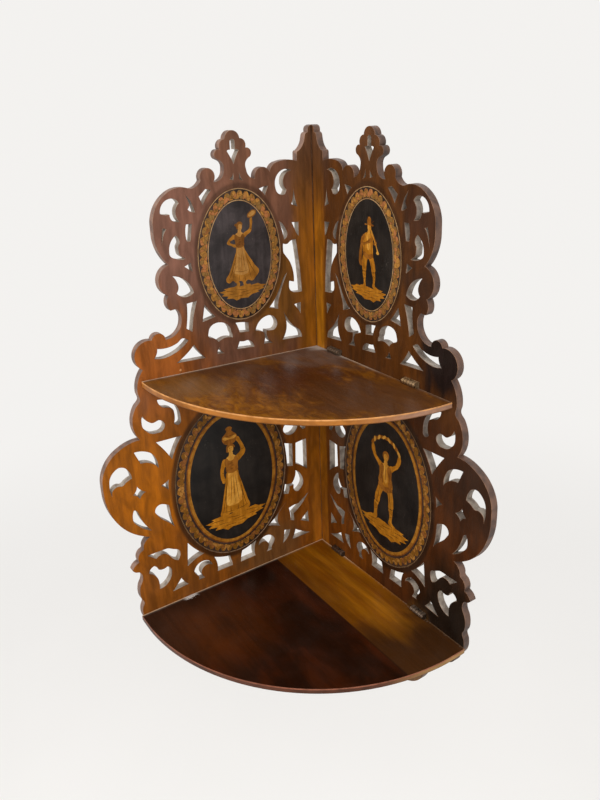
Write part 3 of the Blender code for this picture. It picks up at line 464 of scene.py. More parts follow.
def ebony_wood(name, deep, light):
    material, surface, place = new_material(name)
    colour = blend(ramp(noise(place, 55, 4, 0.4), 0.35, 0.7), deep, light)
    wood = use(GRAIN, Vector=stretched(place, (1, 1, 0.06)), Colour=colour, Depth=0.6)
    marks = use(SCRATCH, Vector=place, Amount=0.5)["Mask"]
    colour = blend(marks, wood["Colour"], (104, 94, 86))
    dusty = use(DUST, Vector=place, Colour=colour, Cover=0.01)
    coat(surface, dusty["Colour"], wood["Rough"] + marks * 0.3, wood["Height"], 0.00006, 0.25, WHITE_GLOSS)
    return material


def mosaic_wood(name, tones, cell, specks):
    """Border band put together from small chips of light woods."""
    material, surface, place = new_material(name)
    warp = make("ShaderNodeTexNoise", {"Vector": place, "Scale": 260, "Detail": 2}).outputs["Color"]
    bent = make("ShaderNodeVectorMath", {0: Value(warp), 1: (0.0022,) * 3}, operation="MULTIPLY").outputs[0]
    moved = Value(make("ShaderNodeVectorMath", {0: place, 1: Value(bent)}, operation="ADD").outputs[0])
    chips = make("ShaderNodeTexVoronoi", {"Vector": moved, "Scale": cell}).outputs["Color"]
    pick = [Value(socket) for socket in make("ShaderNodeSeparateColor", {0: Value(chips)}).outputs]
    colour = blend(ramp(pick[0], 0.3, 0.5), tones[0], tones[1])
    colour = blend(ramp(pick[1], 0.55, 0.7), colour, tones[2])
    colour = blend(ramp(pick[2], 0.74, 0.82), colour, tones[3])
    edges = make("ShaderNodeTexVoronoi", {"Vector": moved, "Scale": cell}, feature="DISTANCE_TO_EDGE")
    edges = Value(edges.outputs["Distance"])
    colour = blend(ramp(edges, 0.09, 0.02) * specks, colour, (70, 42, 16))
    colour = blend(ramp(noise(place, 900, 2), 0.6, 0.7) * specks, colour, (74, 46, 18))
    wood = use(GRAIN, Vector=stretched(place, (1, 1, 0.3)), Colour=colour, Depth=0.3)
    coat(surface, wood["Colour"], wood["Rough"], edges, 0.00008)
    return material


def inlay_wood(name, light, deep, turn=(0, 0, 0)):
    """Thin light veneer, scorched darker in places."""
    material, surface, place = new_material(name)
    colour = blend(ramp(noise(place, 150, 4, 0.8), 0.3, 0.72), deep, light)
    wood = use(GRAIN, Vector=stretched(place, (1, 1, 0.12), turn), Colour=colour, Depth=0.4)
    marks = use(SCRATCH, Vector=place, Amount=0.4)["Mask"]
    coat(surface, blend(marks, wood["Colour"], (80, 50, 20)), wood["Rough"], wood["Height"], 0.00006)
    return material


def aged_brass(name, pale, deep, bright, pitch=0.0, start=0.0):
    """Brass gone dull. With a pitch, dark rings at that pitch along a shelf's edge are painted shade in the
    gaps between the knuckles.
    """
    material, surface, place = new_material(name)
    cloud = noise(place, 220, 4, 0.5)
    spots = ramp(noise(place, 700, 3), 0.52, 0.68)
    colour = blend(ramp(cloud, 0.3, 0.7), deep, pale)
    colour = blend(spots * (0.6 * (1 - bright)), colour, (84, 66, 44))
    marks = use(SCRATCH, Vector=place, Amount=0.5)["Mask"]
    colour = blend(marks, colour, (214, 190, 140))
    dusty = use(DUST, Vector=place, Colour=colour, Cover=0.3 * (1 - bright))
    colour = dusty["Colour"]
    if pitch:
        x = split(place)[0]
        # Painted shade: dark rings in the gaps between the knuckles
        along = reckon("FRACT", (x - start) / pitch + 0.5) - 0.5
        knuckle_gap_shade = ramp(reckon("ABSOLUTE", along), 0.34, 0.47)
        colour = blend(knuckle_gap_shade * 0.85, colour, (46, 32, 20))
    rough = ramp(cloud, 0.3, 0.7, 0.5 - 0.2 * bright, 0.36 - 0.12 * bright)
    plug(surface, "Metallic", 0.85 - dusty["Cover"] * 0.9)
    coat(surface, colour, rough, spots, 0.00005, 0.5, WHITE_GLOSS)
    return material


WOOD = {
    # On the left panel the pinkish grey of the tone above the shelf and of the patch at (150, 120) is partly
    # the wood and partly a painted sheen
    "left": panel_walnut(
        "walnut_left_panel",
        "left",
        ((108, 71, 53), (126, 68, 11)),
        ((128, 76, 18), (140, 78, 12), (146, 88, 16)),
        (
            ((150, 120), 90, (118, 80, 66)),
            ((40, 60), 60, (112, 70, 26)),
            ((158, 12), 66, (148, 82, 32)),
            ((186, -90), 88, (154, 85, 6)),
            ((165, -190), 54, (132, 74, 20)),
            ((60, -196), 54, (108, 68, 32)),
            ((136.5, 8.4), 1.4, (222, 160, 104)),
        ),
    ),
    "right": panel_walnut(
        "walnut_right_panel",
        "right",
        ((84, 46, 13), (70, 34, 9)),
        ((142, 84, 13), (108, 57, 8), (186, 118, 22)),
        (
            ((30, 60), 70, (96, 53, 14)),
            ((150, 130), 66, (60, 31, 15)),
            ((140, 78), 40, (58, 30, 12)),
            ((166, 26), 46, (24, 14, 13)),
            ((30, -110), 70, (92, 50, 12)),
            ((36, -188), 62, (116, 62, 12)),
            ((200, -60), 60, (46, 22, 9)),
            ((186, -190), 70, (24, 13, 6)),
            ((130, -262), 60, (112, 72, 16)),
        ),
    ),
}
SAWN = {
    "left": [
        sawn_walnut("walnut_sawn_left_opening", (178, 166, 152), (118, 98, 82), 0.2),
        sawn_walnut("walnut_sawn_left_outline", (136, 102, 84), (82, 56, 44), 0.06),
    ],
    # The right panel's sawn edges get darker tones, painted shade where they face away from the light
    "right": [
        sawn_walnut("walnut_sawn_right_opening", (150, 138, 124), (88, 72, 60), 0.14),
        sawn_walnut("walnut_sawn_right_outline", (100, 70, 54), (54, 34, 25), 0.03),
    ],
}
# Lighter chamfers along the front edges: partly edge wear, partly painted highlight
ARRIS_WEAR_AND_HIGHLIGHT = sawn_walnut("walnut_arris_wear_and_highlight", (150, 108, 76), (92, 56, 32), 0.03)
WOOD_UPPER = upper_shelf_walnut()
WOOD_LOWER = lower_shelf_walnut()
# For each rim the tone after its body is a painted highlight on the top arris, the next painted shade along
# the foot
RIM_UPPER = rim_walnut(
    "walnut_upper_rim",
    ((136, 80, 26), (164, 102, 40)),
    (206, 146, 88),
    (92, 50, 8),
    (150, 112, 90),
    0,
    UPPER_SHELF_LIFT,
)
RIM_LOWER = rim_walnut(
    "walnut_lower_rim",
    ((58, 28, 16), (84, 44, 28)),
    (134, 80, 60),
    (40, 20, 12),
    (146, 108, 60),
    LOWER_LEVEL,
    0,
)
EBONY = ebony_wood("ebony_ground", (16, 13, 11), (34, 29, 25))
# The upper left oval's ebony is made lighter and greyer, a painted sheen of window light on its varnish
EBONY_PAINTED_SHEEN = ebony_wood("ebony_ground_painted_sheen", (38, 33, 33), (66, 58, 58))
BORDER_DARK = ebony_wood("dark_border_wood", (34, 22, 17), (66, 46, 36))
BAND_UPPER = mosaic_wood(
    "border_mosaic_upper", ((172, 120, 56), (144, 100, 48), (166, 106, 62), (132, 98, 54)), 330, 0.55
)
BAND_LOWER = mosaic_wood(
    "border_mosaic_lower", ((150, 98, 36), (120, 78, 26), (134, 82, 40), (166, 114, 52)), 300, 0.6
)
LINE_PALE = inlay_wood("light_line", (190, 154, 108), (140, 104, 66))
LINE_DULL = inlay_wood("dull_line", (142, 110, 74), (104, 76, 48))
LINE_GOLD = inlay_wood("golden_line", (176, 120, 42), (130, 78, 24))
LINE_AMBER = inlay_wood("amber_line", (140, 82, 30), (98, 54, 20))
FIGURE_WOODS = (
    inlay_wood("figure_honey_wood", (196, 128, 34), (160, 98, 20), (0, 0, 0.3)),
    inlay_wood("figure_pale_wood", (214, 156, 66), (186, 122, 38), (0.4, 0, 0.2)),
    inlay_wood("figure_brown_wood", (158, 98, 32), (118, 68, 20), (0.9, 0, 0)),
)
# Greyer copies of the figure woods for the upper left oval, a painted sheen of window light on its varnish
FIGURE_WOODS_PAINTED_SHEEN = (
    inlay_wood("figure_honey_wood_painted_sheen", (168, 112, 42), (138, 88, 30), (0, 0, 0.3)),
    inlay_wood("figure_pale_wood_painted_sheen", (186, 136, 72), (158, 106, 46), (0.4, 0, 0.2)),
    inlay_wood("figure_brown_wood_painted_sheen", (140, 90, 38), (106, 64, 26), (0.9, 0, 0)),
)
FIGURE_LINE = inlay_wood("figure_burnt_line", (92, 54, 18), (66, 36, 12))
BRASS = aged_brass("brass_aged", (196, 168, 118), (146, 116, 72), 0.2)
BRASS_BRIGHT = aged_brass("brass_bright", (222, 186, 112), (180, 142, 76), 0.9)
# Length of a knuckle and the middle of one, in metres, for each shelf's hinges
UPPER_KNUCKLES = (0.0030625, 0.0204)
LOWER_KNUCKLES = (0.0031944, 0.0214)
# The inner and lower hinges get darker brass, the lower inner one darkest
HINGE_BRASS = {
    "upper_outer": aged_brass("brass_upper_hinges", (204, 172, 124), (158, 124, 80), 0.3, *UPPER_KNUCKLES),
    "upper_inner": aged_brass("brass_inner_hinge", (128, 102, 68), (80, 58, 38), 0.3, *UPPER_KNUCKLES),
    "lower_outer": aged_brass("brass_lower_hinges", (112, 84, 52), (70, 48, 28), 0.3, *LOWER_KNUCKLES),
    "lower_inner": aged_brass("brass_darkest_hinge", (98, 62, 30), (64, 38, 17), 0.12, *LOWER_KNUCKLES),
}


# Small tools for shapes
def select_only(piece):
    bpy.ops.object.select_all(action="DESELECT")
    piece.select_set(True)
    bpy.context.view_layer.objects.active = piece


def start_edit(piece):
    select_only(piece)
    bpy.ops.object.mode_set(mode="EDIT")
    bpy.ops.mesh.select_mode(type="VERT")
    bpy.ops.mesh.select_all(action="SELECT")


def end_edit():
    bpy.ops.object.mode_set(mode="OBJECT")


def face_outwards():
    """Turns all faces of the piece at work outwards and leaves it."""
    bpy.ops.mesh.select_all(action="SELECT")
    bpy.ops.mesh.normals_make_consistent(inside=False)
    end_edit()


def finish_piece(piece, body, materials, stands_for=()):
    piece.data.materials.clear()
    for material in materials:
        piece.data.materials.append(material)
    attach(piece, body)
    if stands_for:
        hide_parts(*stands_for)


def copy_of(node, name):
    """A clean copy of a solid, with its loose triangles joined."""
    piece = bpy.data.objects.new(name, nodes[node].data.copy())
    scene.collection.objects.link(piece)
    start_edit(piece)
    bpy.ops.mesh.remove_doubles(threshold=0.000004)
    bpy.ops.mesh.dissolve_limited(angle_limit=math.radians(0.6))
    bpy.ops.mesh.normals_make_consistent(inside=False)
    end_edit()
    return piece


# Sawn boards: how squarely walls and flat faces look to the front, and how near to one plane faces are one
WALL = 0.4
FLAT = 0.95
SAME_PLANE = 0.01
# Sharper turns than these are corners and notches. A straight this many times as long leads a bend
CORNER = math.cos(math.radians(53))
NOTCH = math.cos(math.radians(160))
MUCH_LONGER = 2.4
MOST_STEPS = 12


def bend_ends(before, start, end, after):
    """Directions in which a sawn line leaves start and reaches end. At a corner only its own counts."""
    length = (end - start).length
    line = (end - start) / length
    ends = []
    for way in (start - before, after - end):
        run = way.normalized()
        if run.dot(line) < NOTCH:
            return line, line
        if run.dot(line) < CORNER:
            ends.append(None)
        elif way.length > MUCH_LONGER * length:
            ends.append(run)
        elif length > MUCH_LONGER * way.length:
            ends.append(line)
        else:
            ends.append((run * length + line * way.length).normalized())
    first, last = ends
    if first is None and last is None:
        return line, line
    if first is None:
        first = line * (2 * line.dot(last)) - last
    if last is None:
        last = line * (2 * line.dot(first)) - first
    return first, last


def sawn_walls(shape, facing):
    """The edges round the two flat faces, and the four-sided walls between them, as pairs of those edges."""
    rims = {}
    for edge in shape.edges:
        if len(edge.link_faces) == 2:
            square = sorted(abs(face.normal.dot(facing)) for face in edge.link_faces)
            if square[0] < WALL and square[1] > FLAT:
                rims[edge] = tuple(edge.verts)
    walls = []
    for face in shape.faces:
        pair = [edge for edge in face.edges if edge in rims]
        if len(face.verts) == 4 and len(pair) == 2 and abs(face.normal.dot(facing)) < WALL:
            first, second = [rims[edge] for edge in pair]
            if not set(first) & set(second):
                same = shape.edges.get((first[0], second[0])) is not None
                walls.append((*pair, same))
    return rims, walls


def refill_flat(shape, facing):
    """Lays the flat face on one side anew between its curved edges."""
    flats = [face for face in shape.faces if face.normal.dot(facing) > FLAT]
    level = max(face.calc_center_median().dot(facing) for face in flats)
    flats = {face for face in flats if level - face.calc_center_median().dot(facing) < SAME_PLANE * MM}
    edges = {edge for face in flats for edge in face.edges}
    inner = [edge for edge in edges if flats.issuperset(edge.link_faces)]
    border = list(edges.difference(inner))
    bmesh.ops.delete(shape, geom=list(flats), context="FACES_ONLY")
    bmesh.ops.delete(shape, geom=inner, context="EDGES")
    bmesh.ops.triangle_fill(shape, edges=border, use_beauty=True, use_dissolve=True, normal=facing)


def round_bends(piece, facing, reach):
    """Makes the short straights of every sawn bend into true curves, in steps of reach. Corners stay."""
    shape = bmesh.new()
    shape.from_mesh(piece.data)
    shape.normal_update()
    low = [min(corner.co[axis] for corner in shape.verts) for axis in range(3)]
    high = [max(corner.co[axis] for corner in shape.verts) for axis in range(3)]
    rims, walls = sawn_walls(shape, facing)
    curves = {}
    for edge in [edge for wall in walls for edge in wall[:2]]:
        around = []
        for corner in rims[edge]:
            near = [other for other in corner.link_edges if other in rims and other is not edge]
            around.append(near[0].other_vert(corner).co if len(near) == 1 else corner.co - facing)
        start, end = [corner.co.copy() for corner in rims[edge]]
        length = (end - start).length
        leave, arrive = bend_ends(around[0], start, end, around[1])
        count = min(max(round(length / reach), 1), MOST_STEPS)
        curves[edge] = []
        for step in range(1, count):
            t = step / count
            spot = (
                start * (2 * t**3 - 3 * t**2 + 1)
                + leave * length * (t**3 - 2 * t**2 + t)
                + end * (3 * t**2 - 2 * t**3)
                + arrive * length * (t**3 - t**2)
            )
            curves[edge].append([min(max(spot[axis], low[axis]), high[axis]) for axis in range(3)])
    fresh = {}
    for edge, spots in curves.items():
        corner, end = rims[edge]
        fresh[edge] = []
        for spot in spots:
            point = bmesh.utils.edge_split(shape.edges.get((corner, end)), corner, 0.5)[1]
            point.co = spot
            fresh[edge].append(point)
            corner = point
    for first, second, same in walls:
        across = fresh[second] if same else fresh[second][::-1]
        if len(across) == len(fresh[first]):
            for one, two in zip(fresh[first], across):
                shared = [face for face in one.link_faces if face in two.link_faces]
                bmesh.utils.face_split(shared[0], one, two)
    for side in (1, -1):
        refill_flat(shape, facing * side)
    shape.normal_update()
    shape.to_mesh(piece.data)
    shape.free()


def ease_edges(piece, width, segments, angle=32, chosen=None, clamp=False):
    """Takes the sharpness off a piece's edges: all of them, or the chosen ones."""
    bpy.ops.object.shade_smooth_by_angle(angle=math.radians(angle))
    bevel = piece.modifiers.new("eased", "BEVEL")
    bevel.width = width
    bevel.segments = segments
    bevel.limit_method = "ANGLE"
    bevel.angle_limit = math.radians(40)
    if chosen is not None:
        bevel.limit_method = "WEIGHT"
        weights = piece.data.attributes.new("bevel_weight_edge", "FLOAT", "EDGE")
        for index in chosen:
            weights.data[index].value = 1.0
    bevel.use_clamp_overlap = clamp
    bevel.loop_slide = False
    bevel.harden_normals = True
    bevel.miter_outer = "MITER_SHARP"
    bpy.ops.object.modifier_apply(modifier=bevel.name)
    start_edit(piece)
    bpy.ops.mesh.dissolve_degenerate(threshold=0.003 * MM)
    end_edit()


# Panels and shelves, with the places of their woods in their lists of materials
FACE, OPENING, OUTLINE, EDGE = range(4)
TOP, RIM = range(2)


def outline_faces(piece, facing):
    """The side faces round the board's outside, found by walking from its topmost side face."""
    sides = {face.index for face in piece.data.polygons if abs(face.normal.dot(facing)) < WALL}
    shared = {}
    for index in sides:
        for vertex in piece.data.polygons[index].vertices:
            shared.setdefault(vertex, []).append(index)
    first = max(sides, key=lambda index: piece.data.polygons[index].center.z)
    found = {first}
    waiting = [first]
    while waiting:
        for vertex in piece.data.polygons[waiting.pop()].vertices:
            for other in shared[vertex]:
                if other not in found:
                    found.add(other)
                    waiting.append(other)
    return found


def dress_panel(node, side):
    piece = copy_of(node, side + "_fretwork_board")
    facing = Vector((0, 1, 0)) if side == "right" else Vector((1, 0, 0))
    round_bends(piece, facing, reach=0.9 * MM)
    ease_edges(piece, width=0.16 * MM, segments=1)
    finish_piece(piece, side + "_panel", [WOOD[side], *SAWN[side], ARRIS_WEAR_AND_HIGHLIGHT], [node])
    outline = outline_faces(piece, facing)
    for face in piece.data.polygons:
        square = abs(face.normal.dot(facing))
        if square < WALL:
            face.material_index = OUTLINE if face.index in outline else OPENING
        else:
            face.material_index = EDGE if square < FLAT else FACE


def dress_shelf(node, name, top, rim, start_front):
    """A shelf with its front edge, further out than start_front, rounded and in a wood of its own."""
    piece = copy_of(node, name)
    round_bends(piece, Vector((0, 0, 1)), reach=2.4 * MM)
    corner = Vector((INNER_X * MM, INNER_Y * MM))
    points = [vertex.co for vertex in piece.data.vertices]
    front = []
    for edge in piece.data.edges:
        start, end = [points[index] for index in edge.vertices]
        nearest = min((start.xy - corner).length, (end.xy - corner).length)
        if nearest > start_front * MM and abs(start.z - end.z) < (start.xy - end.xy).length:
            front.append(edge.index)
    ease_edges(piece, width=0.8 * MM, segments=3, angle=24, chosen=front)
    finish_piece(piece, node, [top, rim], [node])
    for face in piece.data.polygons:
        steep = abs(face.normal.z) < 0.8
        away = (face.center.xy - corner).length
        face.material_index = RIM if steep and away > start_front * MM else TOP


# Oval inlays
def lay_on(piece, side, oval, depth):
    """Turns a flat piece, drawn as seen from the front, onto a panel's face in the middle of an oval."""
    select_only(piece)
    out, up = oval["out"], oval["up"]
    if side == "right":
        piece.rotation_euler = (math.radians(90), 0, 0)
        piece.location = ((INNER_X + out) * MM, (INNER_Y + depth) * MM, up * MM)
    else:
        piece.rotation_euler = (math.radians(90), 0, math.radians(90))
        piece.location = ((INNER_X - depth) * MM, (INNER_Y - out) * MM, up * MM)
    bpy.ops.object.transform_apply(location=True, rotation=True, scale=True)


def resize(across, up):
    bpy.ops.transform.resize(value=(across, up, 1), center_override=(0, 0, 0))


def start_oval(name, axes, count, fill="NOTHING"):
    """Starts a piece with an oval of count points."""
    bpy.ops.object.select_all(action="DESELECT")
    bpy.ops.mesh.primitive_circle_add(vertices=count, radius=1, fill_type=fill, location=(0, 0, 0))
    piece = bpy.context.active_object
    piece.name = name
    start_edit(piece)
    resize(axes[0] * MM, axes[1] * MM)
    return piece


def end_oval(thick):
    bpy.ops.mesh.extrude_region_move(TRANSFORM_OT_translate={"value": (0, 0, -thick * MM)})
    face_outwards()


def oval_plate(name, axes, thick, count=96):
    piece = start_oval(name, axes, count, "NGON")
    end_oval(thick)
    return piece


def shrink_points(piece, chosen, share):
    """Draws chosen points of an oval in towards its middle, or out where share is over 1."""
    bpy.ops.mesh.select_all(action="DESELECT")
    bpy.ops.object.mode_set(mode="OBJECT")
    for vertex in piece.data.vertices:
        vertex.select = vertex.index in chosen
    bpy.ops.object.mode_set(mode="EDIT")
    resize(share, share)


def oval_ring(name, outer, inner, thick, count=120, lobes=0, bite=0.0, inner_bite=0.0):
    """A flat oval ring. With lobes its edges are cut into scallops of six points each."""
    step = 6
    slope = 0.36
    points = lobes * step if lobes else count
    piece = start_oval(name, outer, points)
    if lobes:
        shrink_points(piece, set(range(0, points, step)), 1 - bite / outer[0])
        beside = set(range(1, points, step)) | set(range(step - 1, points, step))
        shrink_points(piece, beside, 1 - slope * bite / outer[0])
    bpy.ops.mesh.select_all(action="DESELECT")
    bpy.ops.mesh.primitive_circle_add(vertices=points, radius=1, location=(0, 0, 0))
    resize(inner[0] * MM, inner[1] * MM)
    if inner_bite:
        middles = set(range(points + step // 2, 2 * points, step))
        shrink_points(piece, middles, 1 + inner_bite / inner[0])
    bpy.ops.mesh.select_all(action="SELECT")
    bpy.ops.mesh.bridge_edge_loops()
    bpy.ops.mesh.select_all(action="SELECT")
    end_oval(thick)
    return piece


def flat_shape(name, outline, scale, thick, smooth=True, drop=0.0):
    """A closed outline, filled and given thickness, its front drop below the drawing plane."""
    curve = bpy.data.curves.new(name, "CURVE")
    curve.dimensions = "2D"
    curve.fill_mode = "BOTH"
    curve.resolution_u = 5 if smooth else 1
    curve.extrude = thick * MM / 2
    spline = curve.splines.new("BEZIER")
    spline.bezier_points.add(len(outline) - 1)
    for point, (x, y) in zip(spline.bezier_points, outline):
        point.co = (x * scale * MM, y * scale * MM, 0)
        point.handle_left_type = point.handle_right_type = "AUTO" if smooth else "VECTOR"
    spline.use_cyclic_u = True
    drawn = bpy.data.objects.new(name, curve)
    scene.collection.objects.link(drawn)
    select_only(drawn)
    bpy.ops.object.convert(target="MESH")
    piece = bpy.context.active_object
    start_edit(piece)
    bpy.ops.mesh.remove_doubles(threshold=0.000002)
    bpy.ops.transform.translate(value=(0, 0, -(thick / 2 + drop) * MM))
    face_outwards()
    return piece


def stroke(x0, y0, x1, y1, bow=0.0, wide=0.45):
    """A thin tapering line between two points, bowed to one side."""
    run = Vector((x1 - x0, y1 - y0))
    side = Vector((-run.y, run.x)).normalized()
    left, right = [], []
    for share, thick in ((0, 0), (0.3, 0.9), (0.6, 1), (0.85, 0.7), (1, 0)):
        spot = Vector((x0, y0)) + run * share + side * (bow * 4 * share * (1 - share))
        left.append(tuple(spot + side * thick * wide / 2))
        right.append(tuple(spot - side * thick * wide / 2))
    return left + right[-2:0:-1]


def round_shape(x, y, wide, tall, turn=0.0):
    outline = []
    count = 8
    for step in range(count):
        angle = math.tau * step / count
        across, up = wide * math.cos(angle), tall * math.sin(angle)
        outline.append((
            x + across * math.cos(turn) - up * math.sin(turn),
            y + across * math.sin(turn) + up * math.cos(turn),
        ))
    return outline


def leaves(wide, tall, *spots):
    return [round_shape(x, y, wide, tall, turn) for x, y, turn in spots]


# Figures, in millimetres from the middle of an upper oval
SLAB = [
    (-22, -26.8), (-15.6, -26.2), (-17.6, -24.9), (-9.4, -24.3), (-6.8, -25.5), (0.4, -24.6), (6.4, -24.4),
    (7.8, -25.4), (15, -24.7), (17.4, -26.2), (23.2, -26.9), (19.2, -28.5), (21.4, -29.6), (14.4, -31),
    (15.8, -32.3), (8.6, -33.1), (4.4, -35.4), (-2.6, -34.8), (-6.4, -36.2), (-10, -33.8), (-15.4, -33.3),
    (-13.8, -31.5), (-20, -30.3), (-17.4, -28.9),
]
SLAB_MARKS = [
    (-19, -27.2, -8, -27.9, 0.3), (-7, -26.6, 4, -28.4, -0.4), (6, -26.4, 17, -27.6, 0.3),
    (-14, -30.2, -5, -30.8, 0.3), (-3, -30.4, 7, -30, 0.4), (9, -29.4, 17, -29.2, -0.2),
    (-9, -32.8, 0, -33, 0.3), (2, -32.4, 8, -31.8, 0.2),
]
DANCER = {
    "slab_turn": 1,
    "honey": [
        [(-3, 8), (-3.8, 4), (-6, -1), (-8.6, -7), (-11.6, -13), (-14.8, -18.2), (-12, -20.8), (-8.6, -19.4),
         (-5.4, -21.8), (-1.6, -20.4), (2, -22.4), (5.6, -20.6), (9.4, -21.8), (13.2, -19), (16.6, -14.4),
         (12.8, -9), (9.4, -3.6), (6, 1.6), (4, 5.4), (3.2, 8)],
        [(-4.4, 17.6), (-7.6, 16), (-11.2, 12.6), (-11.6, 11.2), (-8, 9.2), (-3.8, 7.4), (-3.4, 8.8),
         (-7.2, 10.6), (-8.8, 11.8), (-6.8, 13.4), (-4.2, 14.4)],
        [(4.2, 14.6), (7.6, 16.2), (11.2, 18.6), (12.2, 22.4), (12.8, 27.4), (12, 29.6), (10.8, 28.6),
         (10.4, 24), (9.4, 20.8), (7, 19.2), (4, 17.8)],
        [(-5.6, -20.6), (-5.2, -23.2), (-8.6, -25.4), (-3.4, -25.6), (-2.8, -21.2)],
        [(3.2, -21.4), (3.8, -23.6), (8, -25), (2.4, -25.8), (1.4, -21.4)],
    ],
    "pale": [
        [(-2.2, 7.4), (-3.6, 1), (-5.6, -6), (-7.2, -12.6), (-2.6, -15), (2.6, -15.6), (6.6, -13.4),
         (5.6, -6), (4, 1), (2.4, 7.4)],
        [(-3.4, 17.4), (-1.2, 19), (-0.7, 20.8), (1.8, 20.8), (2.1, 19), (3.6, 17.6), (1.2, 15.2),
         (-1, 15.8)],
        round_shape(0.8, 23.4, 2.2, 3.0, 0.1),
    ],
    "brown": [
        [(-3.2, 7.6), (-4.1, 11.6), (-4.5, 15.8), (-3.2, 17.4), (-1.2, 16), (1, 15.2), (2.8, 17.4), (4.5, 16),
         (4.1, 11.6), (3.4, 7.6)],
        [(-1.4, 21.4), (-2.3, 23.8), (-1.5, 26.2), (0.8, 27.3), (3, 26.3), (3.3, 24.2), (2.3, 25),
         (0.4, 25.2), (-0.5, 24), (-0.6, 22.2)],
        round_shape(-2.6, 24.9, 1.2, 1.1), round_shape(12.6, 32.2, 4.6, 2.6, 0.45),
    ],
    "bright": [
        round_shape(12.6, 32.3, 3.5, 1.7, 0.45),
    ],
    "lines": [
        (-3.2, 3.5, -12.4, -18.8, 0.9), (-4.2, -1.5, -8.8, -19, 0.4, 0.36),
        (-2.2, -15.2, -2.4, -20.4, 0, 0.36), (2.6, -15.6, 3, -21.4, 0, 0.36), (4.4, 2, 13.8, -17.4, -0.8),
        (5.8, -3, 9.2, -20.8, -0.5, 0.36), (-1, 6, -3, -13.6, 0.3, 0.3), (0.6, 6, 0.4, -15, 0, 0.3),
        (2, 6, 4, -13.4, -0.3, 0.3), (-6.8, -11.4, 6.2, -12.2, -1.2, 0.34), (-1.4, 9, 1.2, 9.4, 0, 0.3),
        (-1.5, 11, 1.3, 11.4, 0, 0.3), (-1.5, 13, 1.3, 13.4, 0, 0.3), (-9.6, 13.8, -7.9, 11.6, 0, 0.34),
        (9.2, 21.2, 12, 20.6, 0, 0.34), (0.2, 23.8, 0.9, 23.7, 0, 0.25), (1.6, 23.8, 2.3, 23.7, 0, 0.25),
        (0.8, 21.9, 1.7, 21.8, 0, 0.25),
    ],
}
PIPER = {
    "slab_turn": -1,
    "honey": [
        [(-4.8, 17), (-6.6, 12), (-6.8, 6), (-6, 1.6), (-2.6, 0.6), (0.6, 1.4), (4.4, 0.4), (5.4, 3), (5, 8),
         (5.2, 13), (4.2, 17.2), (1.4, 18.4), (-2, 18.4)],
        [(-5.8, 1), (-7.4, -4), (-7.6, -9.6), (-6.8, -12.4), (-3.6, -12.6), (-2.6, -8), (-1.4, -3),
         (-0.4, 0.4)],
        [(0.2, 0.6), (1.8, -4), (3.6, -8.6), (4.6, -12.6), (7.8, -12), (8.2, -8), (6.8, -3), (4.8, 0.6)],
        [(-6.6, -12.2), (-6.8, -16), (-6, -20), (-6.4, -23.4), (-10.2, -25.2), (-4, -25.4), (-3.8, -20),
         (-3.4, -16), (-3.6, -12.4)],
        [(4.6, -12.4), (5.6, -16.4), (5.6, -20), (5, -23.6), (8.8, -25.2), (11, -24.6), (8, -22.6),
         (8.2, -18), (8.4, -14.6), (7.8, -12)],
    ],
    "pale": [
        [(-1.6, 17.6), (-1.8, 11), (-0.4, 4.6), (1.6, 11), (2, 17.4), (0.2, 18.2)],
        [(-0.6, 20), (-0.8, 18), (2, 18), (1.8, 20)],
        round_shape(1, 22.6, 2.1, 2.9),
    ],
    "brown": [
        [(-6.6, 15), (-9.8, 8), (-11.6, 0), (-11, -7.4), (-8.6, -8.6), (-8.2, -2), (-7.4, 5), (-6.8, 11)],
        [(-4.6, 24.6), (-1.6, 25), (-1.4, 28.2), (0.6, 30.6), (2.8, 29), (3.4, 25.4), (6.2, 24.2),
         (3.2, 23.8), (-0.8, 24.2)],
        [(-5, 16.8), (-8.4, 13), (-9.6, 9.4), (-7.4, 8), (-1.6, 9.6), (4.2, 12.4), (3.8, 14.2), (-2, 11.8),
         (-6.2, 10.6), (-6, 12), (-3.6, 14.8)],
        [(4.4, 17), (8.6, 13.2), (9.8, 10.4), (6.2, 9.8), (6, 11.6), (7, 12), (3.8, 14.8)],
        [(-6.4, 2.6), (-6.2, 0.2), (5, -0.6), (5.4, 1.8), (0, 1.4)],
    ],
    "bright": [
        [(2.4, 20.8), (3.2, 21), (11.2, 5.8), (12.4, 3.2), (9.4, 3.6), (10.2, 5.2)],
    ],
    "lines": [
        (-5.2, 13, -5.6, 3, 0.3, 0.36), (4, 12, 4.2, 2.6, -0.3, 0.36), (0, 16.4, -0.2, 6, 0, 0.3),
        (-6, -1.6, -5.8, -11.6, 0.4, 0.36), (3, -2.6, 6, -11.6, -0.4, 0.36),
        (-7.2, -12.3, -3.5, -12.6, 0, 0.7), (4.4, -12.5, 8, -12, 0, 0.7), (-7, -14.6, -3.6, -16.2, 0, 0.3),
        (-3.6, -17.4, -6.2, -19, 0, 0.3), (5.2, -14.6, 8.4, -16, 0, 0.3), (8, -17.4, 5.6, -19, 0, 0.3),
        (-7.4, 9.4, 2.6, 13, -0.4, 0.34), (-8, 4, -9.6, -7.4, 0.3, 0.34), (-7.6, 8, -8.4, 0, 0.2, 0.3),
        (6.4, 11, 8.6, 11.2, 0, 0.3), (3.2, 24.6, 7.2, 28.2, 0.5, 0.5), (0.4, 22.8, 1.1, 22.7, 0, 0.25),
        (1.8, 22.8, 2.4, 22.7, 0, 0.25),
    ],
}
